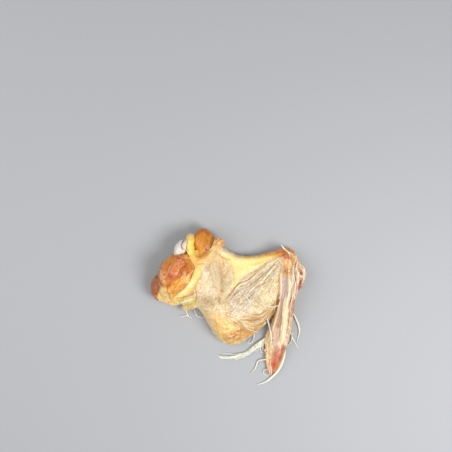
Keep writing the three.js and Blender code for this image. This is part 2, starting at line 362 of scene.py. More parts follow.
def softCopy(node, name, voxel, rounds):
    # `rounds` of smoothing take away facets; each is undone in part, so the piece keeps its size
    form = bmesh.new()
    form.from_mesh(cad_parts[node].data)
    bmesh.ops.remove_doubles(form, verts=form.verts, dist=0.002 * mm)
    piece = addPiece(name, meshOf(form, name))
    modify(piece, "REMESH", mode="VOXEL", voxel_size=voxel * mm)
    form = bmesh.new()
    form.from_mesh(piece.data)
    for turn in range(rounds):
        relax(form, 0.5)
        relax(form, -0.52)
    form.to_mesh(piece.data)
    form.free()
    modify(piece, "SUBSURF", levels=1, render_levels=1)
    return piece


def slide(piece, vector, share):
    # moves a piece's points along a vector, each by its share, which comes from their plan places
    points = readPoints(piece.data)
    writePoints(piece.data, points + share(*planOf(points).T)[:, None] * np.array(vector))


def dropFaces(piece, share, chosen=None):
    # leaves this share of the faces and gives up the flattest, only at the chosen points if given
    settings = {"ratio": share}
    if chosen is not None:
        group = piece.vertex_groups.new(name="chosen")
        group.add(np.flatnonzero(chosen).tolist(), 1.0, "REPLACE")
        settings["vertex_group"] = group.name
    modify(piece, "DECIMATE", **settings)
    piece.vertex_groups.clear()
    piece.data.shade_smooth()


def place(piece, material, slot, *nodes):
    piece.data.materials.clear()
    piece.data.materials.append(material)
    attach(piece, "root")
    if nodes:
        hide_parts(*nodes)
    print(piece.name + ":", sum(len(face.vertices) - 2 for face in piece.data.polygons), "triangles")


# Materials

class Wire:
    # one output of a node; sums written with it add Math nodes
    def __init__(self, graph, socket):
        self.graph = graph
        self.socket = socket

    def maths(self, operation, first, second):
        return self.graph.node("ShaderNodeMath", {"operation": operation}, {0: first, 1: second})

    def __add__(self, other):
        return self.maths("ADD", self, other)

    def __radd__(self, other):
        return self.maths("ADD", other, self)

    def __sub__(self, other):
        return self.maths("SUBTRACT", self, other)

    def __rsub__(self, other):
        return self.maths("SUBTRACT", other, self)

    def __mul__(self, other):
        return self.maths("MULTIPLY", self, other)

    def __rmul__(self, other):
        return self.maths("MULTIPLY", other, self)


class Graph:
    # a material's nodes; `node` makes any of them from its settings and its sockets' values
    def __init__(self, name):
        self.material = bpy.data.materials.new(name)
        self.material.use_nodes = True
        self.tree = self.material.node_tree
        self.tree.nodes.clear()

    def node(self, kind, settings=None, values=None, out=0):
        made = self.tree.nodes.new(kind)
        for name, value in (settings or {}).items():
            if name == "stops":
                self.setStops(made.color_ramp, value)
            else:
                setattr(made, name, value)
        for key, value in (values or {}).items():
            if isinstance(value, Wire):
                self.tree.links.new(value.socket, made.inputs[key])
            else:
                made.inputs[key].default_value = value
        return Wire(self, made.outputs[out]) if made.outputs else None

    def setStops(self, colourRamp, stops):
        while len(colourRamp.elements) < len(stops):
            colourRamp.elements.new(0.5)
        for element, (position, level) in zip(colourRamp.elements, stops):
            element.position = position
            element.color = (level, level, level, 1)

    def spots(self):
        return self.node("ShaderNodeTexCoord", out="Object")

    def attribute(self, name, out):
        return self.node("ShaderNodeAttribute", {"attribute_name": name}, out=out)

    def mix(self, factor, first, second, blend="MIX"):
        # the colour sockets of Mix are numbers 6 and 7, and its colour result is number 2
        return self.node("ShaderNodeMix", {"data_type": "RGBA", "blend_type": blend},
                         {0: factor, 6: first, 7: second}, out=2)

    def noise(self, size, detail=3.0, rough=0.6):
        return self.node("ShaderNodeTexNoise", None,
                         {"Vector": self.spots(), "Scale": 1 / (size * mm),
                          "Detail": detail, "Roughness": rough}, out="Fac")

    def cells(self, size):
        return self.node("ShaderNodeTexVoronoi", None,
                         {"Vector": self.spots(), "Scale": 1 / (size * mm)}, out="Distance")

    def ramp(self, source, *stops):
        return self.node("ShaderNodeValToRGB", {"stops": stops}, {"Fac": source})

    def deeper(self, tint, colour):
        return self.mix(1.0, tint, (*colour, 1), "MULTIPLY")

    def surface(self, colour, roughness, bump, depth, glow=None, coat=(0, 0.03)):
        # glow is light under the surface: its share, its reach and the reach of each colour
        normal = self.node("ShaderNodeBump", None,
                           {"Height": bump, "Distance": depth * mm, "Strength": 1.0}, out="Normal")
        values = {"Base Color": colour, "Roughness": roughness, "Normal": normal, "IOR": 1.4,
                  "Coat Weight": coat[0], "Coat Roughness": coat[1]}
        if glow:
            share, reach, reaches = glow
            values.update({"Subsurface Weight": share, "Subsurface Scale": reach * mm,
                           "Subsurface Radius": reaches})
        shader = self.node("ShaderNodeBsdfPrincipled", None, values)
        self.node("ShaderNodeOutputMaterial", None, {"Surface": shader})
        return self.material


def skinMaterial():
    graph = Graph("wetSkin")
    tint = graph.attribute("tint", "Color")
    wet = graph.attribute("wet", "Fac")
    speckle = graph.noise(1.3, 4.0, 0.6)
    mottle = graph.noise(3.4, 3.0, 0.55)
    dark = graph.ramp(speckle, (0.34, 1), (0.52, 0))
    patch = graph.ramp(mottle, (0.36, 1), (0.56, 0))
    pale = graph.ramp(mottle, (0.52, 0), (0.72, 1))
    lighter = graph.mix(0.22, tint, (1, 0.97, 0.86, 1))
    colour = graph.mix(dark * 0.45 + patch * 0.4, graph.mix(pale * 0.5, tint, lighter),
                       graph.deeper(tint, (0.93, 0.87, 0.75)))
    return graph.surface(colour, 0.46 - 0.14 * wet + 0.1 * speckle, speckle * 0.8 + graph.cells(1.5) * 0.3,
                         0.2, (0.1, 1.5, (1.0, 0.5, 0.25)), coat=(0.25, 0.16))


def meatMaterial():
    graph = Graph("rawMeat")
    tint = graph.attribute("tint", "Color")
    wet = graph.attribute("wet", "Fac")
    mottle = graph.noise(1.6, 4.0, 0.65)
    dark = graph.ramp(mottle, (0.3, 1), (0.55, 0))
    pale = graph.ramp(mottle, (0.55, 0), (0.78, 1))
    lighter = graph.mix(0.3, tint, (1, 0.85, 0.62, 1))
    colour = graph.mix(dark * 0.5, graph.mix(pale * 0.4, tint, lighter),
                       graph.deeper(tint, (0.85, 0.7, 0.58)))
    return graph.surface(colour, 0.4 - 0.14 * wet, mottle, 0.2, (0.12, 1.5, (1.0, 0.35, 0.15)),
                         coat=(0.22, 0.16))


def glossyMaterial(name, roughness, bumpSize, bumpDepth, glow):
    # the finish shared by cartilage and fat, which differ in their paint and lumps
    graph = Graph(name)
    tint = graph.attribute("tint", "Color")
    mottle = graph.noise(bumpSize, 3.0, 0.6)
    colour = graph.mix(mottle * 0.35, tint, graph.deeper(tint, (0.88, 0.84, 0.78)))
    return graph.surface(colour, roughness + 0.1 * mottle, mottle, bumpDepth,
                         (glow, 1.2, (1.0, 0.8, 0.6)), coat=(0.5, 0.1))


def featherMaterial():
    graph = Graph("wetFeather")
    tint = graph.attribute("tint", "Color")
    streak = graph.noise(0.5, 2.0, 0.5)
    colour = graph.mix(streak * 0.3, tint, graph.deeper(tint, (0.92, 0.9, 0.84)))
    return graph.surface(colour, 0.42 + 0.2 * streak, streak, 0.06, (0.1, 0.6, (1.0, 0.2, 0.1)),
                         coat=(0.15, 0.03))


finishes = {
    "skin": skinMaterial(),
    "meat": meatMaterial(),
    "cartilage": glossyMaterial("wetCartilage", 0.22, 2.5, 0.08, 0.2),
    "fat": glossyMaterial("yellowFat", 0.3, 1.4, 0.25, 0.15),
    "feather": featherMaterial(),
}
print("finishes made:", len(finishes))


# Skin

skinLook = {
    "voxel": 0.8,
    "rounds": 20,
    "handMove": (-2.5, 0, 0),  # the hand's outer side lies this much further in
    "thumbMove": (-2.6, -1.6, 0),
    # swollen spots: place, radius, height
    "plump": [((-20, 41), 5.0, 0.9), ((-13, 48), 6.0, 1.1), ((53.4, 42.6), 3.2, 1.5)],
    "pinched": [((-35.2, -4.5), 5.5, 0.55), ((-7, 50.5), 7, 0.3)],  # the flap's corner and the knob
    "follicleSpacing": 2.9,
    "follicleHeight": 0.22,
    "webDotSpacing": 1.9,
    "webDotHeight": 0.2,
    "crepe": [(3.2, 22, 0.14), (1.7, 24, 0.07)],  # fine wrinkles all over: pitch, seed, depth
    "pulledCrepe": [(1.0, 27, 0.16), (1.7, 28, 0.1)],  # along the forearm: fineness, seed, depth
    "wristPull": (62, 60),  # the plan place these fan out from
    "cobblePitch": 1.8,
    "cobbleDepth": 0.22,
    "hollowCrepe": (1.25, 31, 0.08),  # in the bend of the elbow
    "sag": 0.35,  # broad unevenness
    "knobLumps": (2.4, 32, 1.3),  # pitch, seed, depth
    "trailLumps": (2.6, 26, 0.9),  # along the hand's trailing edge
    "undersideShare": 0.76,  # of the faces, once the underside is thinned
    "faceShare": 0.74,  # of those, once the flattest places are thinned too
}

# The skin's own colours, with painted shade for grooves, gaps and hollows and painted highlight for crests
# and strands
skinHues = huesOf({
    "under": (236, 212, 164), "light": (255, 244, 210), "warm": (218, 184, 140), "crease": (212, 176, 142),
    "blotch": (222, 202, 188), "crepeShade": (214, 190, 158), "pebbleGapShade": (212, 190, 140),
    # upper arm and web
    "arm": (240, 220, 178), "armPale": (238, 221, 184), "armRosy": (230, 207, 184),
    "armLow": (184, 154, 114), "veil": (240, 208, 154), "veilLight": (255, 236, 190),
    "bulge": (233, 211, 173), "bulgeLow": (214, 190, 144), "knob": (222, 160, 90),
    "web": (251, 241, 178), "webGold": (243, 196, 98), "webFar": (240, 156, 62),
    "webEdge": (240, 208, 162), "webGroove": (240, 206, 130), "webLight": (255, 250, 190),
    "webDotShade": (246, 226, 168),
    # forearm and elbow
    "forearm": (238, 220, 182), "forearmRosy": (222, 198, 176), "forearmRight": (230, 216, 172),
    "mauve": (216, 201, 190), "fanGroove": (206, 176, 138), "fanShade": (208, 180, 150),
    "pulledShade": (202, 184, 176), "pulledHighlight": (246, 238, 216), "rim": (214, 176, 120),
    "rimGap": (170, 128, 80), "rimLight": (255, 232, 176), "elbow": (247, 213, 140),
    "elbowGold": (252, 204, 122), "elbowPeach": (255, 212, 166), "elbowRosy": (255, 208, 160),
    "elbowHollow": (228, 202, 154), "elbowTip": (216, 156, 84), "elbowGroove": (222, 172, 98),
    "elbowLight": (255, 232, 170), "elbowLine": (200, 132, 66), "hollowShade": (196, 162, 118),
    # wrist, hand and thumb
    "wrist": (234, 140, 48), "wristFold": (164, 88, 42), "wristTan": (222, 166, 110),
    "wristGroove": (206, 136, 84), "wristLight": (240, 198, 138), "handTan": (190, 148, 108),
    "handRight": (194, 152, 118), "handLow": (230, 192, 146), "handTop": (230, 176, 114),
    "handGold": (238, 196, 130), "handGroove": (210, 168, 130), "handRosy": (222, 184, 162),
    "handShade": (196, 142, 108), "redBrown": (186, 124, 98), "purple": (208, 184, 188),
    "purpleLow": (180, 146, 120), "hollowEnd": (226, 192, 176), "cream": (250, 236, 202),
    "thumbCream": (252, 224, 178), "thumbGroove": (212, 158, 110), "blood": (162, 56, 46),
    "bloodSoft": (204, 128, 110), "tipRed": (206, 108, 84), "tipOrange": (194, 80, 42),
    "trail": (254, 222, 170), "trailLow": (236, 194, 142),
    # rolled edge and flap
    "bandYellow": (248, 214, 118), "bandTop": (230, 164, 84), "bandGroove": (230, 190, 120),
    "flap": (218, 196, 124), "flapLight": (250, 240, 180), "flapTip": (246, 214, 140),
})

# Single folds in plan: the line, its half width, and its height (a groove is negative)
skinFolds = [
    ([(-5.5, 37.5), (-5, 30), (-4.6, 24.5), (-4.6, 17), (-5.5, 10.5), (-8.5, 4)], 4.2, -0.6),
    ([(-5.8, 35), (-5, 26.2), (-4.5, 19), (-4.8, 11)], 1.6, -0.45),
    ([(2.5, 34), (4.5, 26), (4.5, 20.5), (1.5, 14.5)], 1.4, -0.35),
    ([(4.5, 22.5), (3, 17.5), (-1, 11.5)], 1.1, 0.45),
    ([(-10.5, 45), (-7, 41), (-2, 38.6), (3, 38)], 1.6, -0.6),
    ([(-9, 48), (-2, 44.4), (5, 41.2)], 2.4, 0.6),
    ([(20.2, 23.4), (15.5, 21.8), (9.1, 19.8), (5, 15.8), (2, 11), (-3, 6)], 1.2, -0.55),
    ([(43.5, 42), (38.1, 36), (34.3, 32.6), (30.4, 28.4), (25.7, 24.1), (20.2, 17.3)], 1.0, -0.4),
    ([(41.5, 36.9), (36.8, 30.9), (32.6, 25.8), (28.7, 21.5), (24.5, 16.4)], 0.9, -0.35),
    ([(44.4, 41.2), (39.4, 38.2), (33, 34.8), (28.7, 30.9), (23.6, 27.2), (20.2, 24.1), (15.1, 20.6),
      (10, 18.4), (6.5, 15.2), (3.1, 12)], 1.1, 0.75),
    ([(40.7, 38), (35.1, 30.6), (30.9, 25.4), (27, 20.5), (24.5, 15.8), (20.2, 11.3)], 0.9, 0.5),
    ([(-20.5, 29), (-21, 26), (-24, 20.5), (-26.5, 15.5), (-27, 12.5)], 1.2, -0.5),
    ([(-26.5, 13), (-25.5, 9), (-26, 4.5)], 1.0, -0.9),
    ([(-42.5, 6.8), (-36, 7.6), (-29, 10.6), (-26.5, 12)], 1.1, -0.9),
    ([(-40, 3.6), (-34, 4.6), (-28, 7)], 1.2, 0.5),
    ([(-36.5, 1), (-32, 1.6), (-28, 3)], 1.0, -0.5),
    ([(41, 33), (41, 25), (41.4, 17), (40.4, 9), (39.5, 2.5), (37, -3.5), (35, -10), (33.5, -15)],
     1.3, -0.8),
    ([(42.5, 31.5), (42.3, 22), (42.4, 14), (41.2, 4.5), (39.4, -4.5), (37, -14), (35, -22)], 1.3, 0.6),
    ([(48.6, 27), (49.4, 19), (48.4, 10), (47, 3), (45.8, -3), (45, -10), (44.4, -18.5), (43, -29)],
     1.5, 0.9),
    ([(43, -8.5), (41.5, -16.5), (41, -23), (41.5, -30)], 0.9, -0.7),
    ([(49.8, 8), (49, -4), (48, -16.5), (46, -27.5)], 1.0, -0.5),
    ([(51, 38), (52.5, 34), (53, 30), (54.5, 22.5), (55, 15.5), (53.5, 8.5)], 1.2, -0.9),
    ([(56, 36.5), (58, 31.5), (58, 26)], 0.9, -0.5),
    ([(0.6, -22.4), (5.3, -21.6), (10.4, -18.8), (14, -18.2)], 1.3, -0.7),
    ([(0.6, -25.8), (4.8, -24.1), (9, -22)], 1.3, -0.7),
    ([(-2, -6.6), (4.8, -7.9), (10, -12.6), (14.7, -16.4), (20.2, -18.2)], 1.0, -0.4),
    ([(6, -7.5), (11, -11.5), (16, -15.6), (22, -17)], 0.9, 0.5),
    ([(38, -30), (37.5, -36), (37, -44), (35, -51)], 1.0, -0.5),
    ([(34, -42), (33.5, -49), (33.5, -54)], 0.9, 0.5),
]

skinZones = {
    "arm": [(-19, 38), (-9, 38.5), (-6, 30), (-5, 20), (-7, 9), (-11, 0), (-18, -4), (-24, 3), (-27, 12),
            (-22, 22), (-20, 31)],
    "armPale": [(-16, 28), (-10, 28), (-8, 18), (-11, 9), (-17, 9), (-20, 18)],
    "bulge": [(-4, 38), (3, 35), (5, 26), (3, 16), (-4, 8), (-5, 17), (-4.5, 27)],
    "web": [(-3, 46), (5, 44), (17, 43), (30, 45), (42, 48), (46, 45), (32, 38.5), (21, 31), (12, 24.5),
            (5, 17), (4, 26), (2, 34), (-4, 40)],
    "webFar": [(26, 46), (40, 50), (52, 52), (50, 44), (41, 42.5), (31, 41)],
    "forearm": [(42, 36), (28, 29), (16, 21), (8, 14), (2, 4), (3, -6), (12, -9), (22, -6), (31, -2),
                (38, 6), (40, 20)],
    "forearmRight": [(41, 28), (33, 22), (25, 12), (20, 3), (24, -2), (32, 0), (39, 8)],
    "rim": [(40, 8), (33, 1), (24, -5), (14, -6), (8, -12), (14, -20), (24, -20), (32, -14), (38, -6),
            (40, 2)],
    "elbow": [(-23, -4), (-13, -5.5), (-3, -8.5), (5, -12.5), (11, -17.5), (19, -23), (12, -33), (3, -34),
              (-9, -29), (-19, -16)],
    "elbowTip": [(-4, -24), (2, -19.5), (9, -17.5), (17, -18), (21, -22), (12, -26), (2, -27)],
    "wrist": [(36, 49), (46, 53), (56, 50), (61, 38), (53, 34), (46, 35), (41, 40)],
    "hand": [(42, 34), (50, 34), (60, 36), (64, 26), (60, 8), (54, -8), (50, -24), (45, -38), (36, -56),
             (30, -56), (28, -40), (28, -24), (34, -16), (37, -4), (41, 10), (41, 24)],
    "thumb": [(52, 42), (60, 44), (65, 32), (63, 18), (56, 6), (53, 14), (54, 26)],
    "trail": [(33, -16), (35, -24), (35, -36), (33, -46), (33, -58), (29, -50), (27, -40), (27, -26),
              (30, -18)],
    "flap": [(-44, 9), (-38, 8), (-30, 9.5), (-26, 9), (-25.5, 3), (-30, -2), (-36, -5), (-38, 1),
             (-44, 3)],
    "knob": [(-16, 52), (-10, 58), (-2, 56), (0, 50), (-6, 46), (-13, 45)],
}

bandCentre = [(-15, 44), (-21, 40.5), (-24, 37), (-24.5, 31), (-27, 23.5), (-31, 17), (-37, 11.5),
              (-44, 7.5)]

# Guide lines that folds flow between
fanTop = [(45, 44.5), (32, 38), (21, 30.5), (12, 24.5), (5, 16.5), (-1.5, 9)]
fanBottom = [(46.5, 35), (40, 27.5), (32, 18.5), (24, 11.5), (17, 3.5), (9.5, -7)]
rimIn = [(40, 14), (37.5, 5), (33.5, 0.5), (29, -3.5), (23, -5.5), (16, -4), (9, -6)]
rimOut = [(38, -4), (35, -11), (30, -16), (23, -20), (15, -20), (7, -15), (2, -11)]
armRight = [(-5.5, 40), (-5, 30), (-4, 24.5), (-5, 17), (-6, 10.5), (-9.5, 3.5), (-13, -4)]
armLeft = [(-17.5, 40), (-19.5, 31.5), (-21, 26), (-24, 20.5), (-27, 14), (-27, 8), (-26, 1)]
veilLeft = [(-13.5, 47), (-17, 39), (-19.5, 32)]
veilRight = [(-4, 46), (-7.5, 38), (-11, 31)]
bulgeRight = [(0.5, 39), (2.5, 30), (3.5, 20.5), (0.5, 12), (-3, 4), (-6, -2)]
handLeft = [(42, 36), (41, 25), (42, 17), (40.5, 9), (39.5, 2.5), (37, -3.5), (34, -13), (29, -26),
            (29, -44)]
handRight = [(56, 36), (59, 26), (56, 12), (53, 0), (50, -14), (47, -28), (40, -44)]
purpleLine = [(45.2, 27), (45.2, 20), (45.2, 15.6), (44.2, 7), (42.8, 0), (40.8, -9), (39, -18),
              (38, -26), (37.8, -33)]
bandLeft = [(-19, 46), (-24, 42.5), (-27, 38), (-27.5, 31), (-30, 24.5), (-33.5, 18.8), (-39, 13.8),
            (-45, 10)]
bandRight = [(-12, 42), (-18, 38.5), (-20.5, 36.5), (-21, 30), (-24, 22), (-28.5, 15), (-35, 9), (-43, 5)]
wristLeft = [(41, 45), (43, 39), (43.6, 32), (44.6, 25)]
wristRight = [(52, 51), (56.5, 43), (55.5, 33), (51.5, 24)]
thumbLeft = [(50, 42), (53, 34), (54.5, 26), (54, 16), (52.5, 6)]
thumbRight = [(57, 44), (61.5, 35), (62, 26), (60, 16), (57, 8)]
handMiddle = [(49, 36), (47.8, 26), (47.6, 15), (46.4, 4), (44.6, -6), (43, -16), (41.6, -26), (40, -36)]
webHigh = [(-6, 48), (4, 46), (17, 44.5), (30, 46.5), (46, 50)]
webLow = [(3, 30), (10, 28), (20, 32), (31, 38.5), (45, 45)]
elbowInner = [(-20, 0), (-8, -3), (2, -8), (8, -14), (14, -20)]
elbowOuter = [(-18, -14), (-10, -24), (0, -32), (12, -32), (22, -24)]
flapInner = [(-25, 9), (-26, 4), (-30, -3)]
flapOuter = [(-43, 8), (-40, 2), (-36, -4)]


mauveOutline = [(0, 12), (9, 16), (19, 20), (24, 12), (20, 2), (12, -4), (3, -4), (-1, 4)]
elbowHollow = [(-19, 1), (-8, -2), (3, -5), (8, -9)]

# Broad colour, then the folds that flow along the bones, in the order they are laid
skinGround = [
    ("forearm", "forearm", 1),
    ("forearmRight", "forearmRight", 0.8),
    ("mauve", "mauve", 0.8),
    ("elbowWide", "elbow", 1),
    ("spot", (-9, -15), 8, "elbowGold", 0.8),
    ("spot", (-15, -11), 7, "elbowPeach", 0.9),
    ("band", [(-15.5, -8), (-13, -14), (-10.5, -19)], 1.6, 3.4, "elbowRosy", 0.8),
    ("band", [(-17, -1), (-8, -2.5), (2, -5.5)], 3.0, 5.0, "elbowHollow", 0.75),
    ("rim", "rim", 1),
    ("elbowTip", "elbowTip", 0.75),
    ("arm", "arm", 1),
    ("band", [(-7.5, 48), (-11, 41), (-15, 35)], 2.6, 3.6, "veil", 0.9),
    ("armPale", "armPale", 0.8),
    # painted shade where the arm sinks towards the elbow
    ("band", [(-22, 9), (-15, 4), (-8, 5)], 2.5, 4.0, "armLow", 0.7),
    ("bulge", "bulge", 1),
    ("webWide", "web", 1),
    ("webRight", "webGold", 0.9),
    ("webFar", "webGold", 0.9),
    ("band", [(14, 43), (24, 43.2), (36, 46), (48, 49)], 2.2, 3.0, "webFar", 0.9),
    ("band", [(32, 45), (41, 47.5), (50, 48)], 2.6, 4.0, "webFar", 0.7),
    ("spot", (41, 46.2), 7.5, "webFar", 0.8),
    ("band", [(-9, 48.6), (-2, 45.8), (5, 42.8), (9, 42.6)], 2.6, 2.6, "webEdge", 0.9),
    ("wrist", "wrist", 1),
    ("spot", (45.4, 41.4), 4.0, "wristFold", 0.8),
    ("spot", (48.6, 40.2), 3.8, "wristFold", 0.9),
    ("hand", "handTan", 1),
    ("band", [(50, 24), (51, 10), (50.4, -2)], 2.2, "handRight", 1),
    ("band", [(50.4, -6), (49.6, -14), (47, -28)], 2.2, "handLow", 1),
    ("spot", (49, 34.5), 6.5, "handTop", 0.9),
    ("band", [(48.6, 36), (48.2, 31), (47.8, 27)], 2.6, 2.6, "handGold", 0.9),
    ("trail", "trail", 1),
    ("spot", (31.5, -47), 11, "trailLow", 0.9),
    ("thumb", "thumbCream", 1),
    ("flap", "flap", 1),
    ("spot", (-34, -3), 7, "flapTip", 0.9),
    ("knob", "knob", 1),
    ("band", bandCentre, 3.6, "bandYellow", 1),
    ("band", bandCentre[:3], 3.4, 3.0, "bandTop", 0.9),
    # each row of folds has painted shade in its grooves and painted highlight on its strands
    ("folds", fanTop, fanBottom, (13, 24, 1), 0.34, ("fanGroove", 0.55), ("light", 0.8),
     ("forearmRosy", 0.8)),
    ("folds", fanTop, fanBottom, (8, 60, 15, 0.18), 0.3, ("fanShade", 0.5), ("light", 0.7)),
    ("folds", fanBottom, rimIn, (12, 7, 2), 0.26, ("warm", 0.4), ("light", 0.6), ("forearmRosy", 0.45)),
    ("folds", rimIn, rimOut, (7, 42, 3, 0.3), 0.8, ("rimGap", 0.9), ("rimLight", 0.9)),
    ("folds", armRight, armLeft, (5, 9, 4), 0.3, ("warm", 0.35), ("light", 0.5), ("armRosy", 0.7)),
    ("folds", veilRight, veilLeft, (5, 14, 14), 0.3, ("warm", 0.4), ("veilLight", 0.7)),
    # painted shade in the hollows where the arm and the bulge meet the elbow
    ("spot", (-15, 5.5), 8.5, "armLow", 0.95),
    ("spot", (-1, 4), 6, "bulgeLow", 0.8),
    ("folds", armRight, bulgeRight, (4, 9, 5), 0.32, ("warm", 0.5), ("light", 0.5)),
    ("folds", handLeft, handRight, (12, 34, 6, 0.4), 0.4, ("handGroove", 0.6), ("light", 0.7),
     ("handRosy", 0.3)),
    ("folds", handMiddle, handRight, (5, 16, 11, 0.4), 0.3, ("handShade", 0.6), ("light", 0.7),
     ("redBrown", 0.4)),
    ("folds", wristLeft, wristRight, (5, 14, 12), 0.45, ("wristGroove", 0.65), ("wristLight", 0.6)),
    ("spot", (47.6, 40.2), 3.4, "wristFold", 0.7),
    ("band", [(45, 36), (50, 36), (53, 40)], 2.0, 3.0, "wristTan", 0.5),
    ("folds", thumbLeft, thumbRight, (5, 16, 13), 0.35, ("thumbGroove", 0.6), ("light", 0.8)),
    ("folds", webHigh, webLow, (4, 12, 7), 0.1, ("webGroove", 0.12), ("webLight", 0.3)),
    ("folds", elbowInner, elbowOuter, (7, 20, 8, 0.9), 0.2, ("elbowGroove", 0.35), ("elbowLight", 0.35)),
    ("folds", flapInner, flapOuter, (2, 9, 9), 0.3, ("warm", 0.3), ("flapLight", 0.6)),
    ("folds", bandRight, bandLeft, (3, 16, 10, 0.3), 0.3, ("bandGroove", 0.4), ("flapLight", 0.7)),
]

# The hollow along the hand, the pale ridge beside it, blood under the skin, and painted shade round the
# elbow
skinMarks = [
    ("band", purpleLine[1:], 2.1, 1.8, "purpleLow", 0.85),
    ("band", [(44.8, 22.5), (45.2, 16), (44.4, 8)], 2.0, 3.4, "purple", 0.95),
    ("band", purpleLine[6:], 2.1, 2.4, "hollowEnd", 0.8),
    ("band", [(46.4, 6), (46, -4), (45.4, -13.5), (43.6, -24), (41.6, -31)], 2.3, 1.8, "cream", 0.9),
    ("stroke", [(49.6, 24), (49.2, 16), (47.6, 7), (45.8, -2)], 1.5, "cream", 1),
    ("spot", (57.5, 28), 3.8, "bloodSoft", 0.9),
    ("spot", (57.4, 20), 4.8, "blood", 1),
    ("spot", (57, 15.5), 3.2, "blood", 0.9),
    ("spot", (58.2, 27), 2.2, "blood", 0.8),
    ("spot", (50.6, 8), 3.0, "bloodSoft", 1),
    ("spot", (50.8, 5), 2.6, "blood", 0.8),
    ("spot", (50, 11), 1.8, "blood", 0.6),
    ("spot", (49.6, -6), 2.6, "bloodSoft", 0.6),
    ("spot", (39.5, -38.5), 5.0, "tipRed", 0.8),
    ("spot", (36.8, -46), 5.5, "tipOrange", 1),
    ("spot", (34.6, -51), 4.2, "tipRed", 1),
    ("spot", (38.6, -43), 3.0, "tipRed", 0.7),
    ("spot", (39, -33), 4.0, "bloodSoft", 0.6),
    ("stroke", [(44.5, -29), (43, -37), (40.5, -44)], 1.6, "blood", 0.7),
    ("stroke", [(50, 13), (51, 4), (49.6, -8)], 1.3, "blood", 0.6),
    ("stroke", bandCentre[4:], 3.0, "flapLight", 0.8),
    # painted shade along the wrinkles round the elbow
    ("stroke", [(0.2, -21.6), (4.6, -20.8), (9.6, -19), (13.6, -18.4)], 1.2, "elbowLine", 0.7),
    ("stroke", [(-0.6, -24.6), (4.2, -23.6), (9.2, -21.4)], 1.2, "elbowLine", 0.7),
    ("stroke", [(2, -27), (6.4, -25.6), (11, -23)], 1.2, "elbowLine", 0.7),
]


def follicles(surface, spacing):
    # goose bumps: one in each cell of a jittered grid, on the upper side and underneath alike
    random.seed(5)
    low, high = surface.points.min(0), surface.points.max(0)
    seeds = []
    for row in range(int((high[0] - low[0]) / spacing) + 2):
        for column in range(int((high[1] - low[1]) / spacing) + 2):
            offset = 0.5 * (row % 2)
            seeds.append((low[0] + (row + random.uniform(-0.28, 0.28)) * spacing,
                          low[1] + (column + offset + random.uniform(-0.28, 0.28)) * spacing,
                          random.uniform(0.45, 1.0)))
    tree = KDTree(len(seeds))
    for index, (x, y, size) in enumerate(seeds):
        tree.insert((x, y, 0), index)
    tree.balance()
    bumps = np.zeros(len(surface.points))
    for index, (x, y) in enumerate(surface.plan.tolist()):
        nearest, which, distance = tree.find((x, y, 0))
        bumps[index] = seeds[which][2] * math.exp(-(distance / (0.3 * spacing)) ** 2)
    return bumps


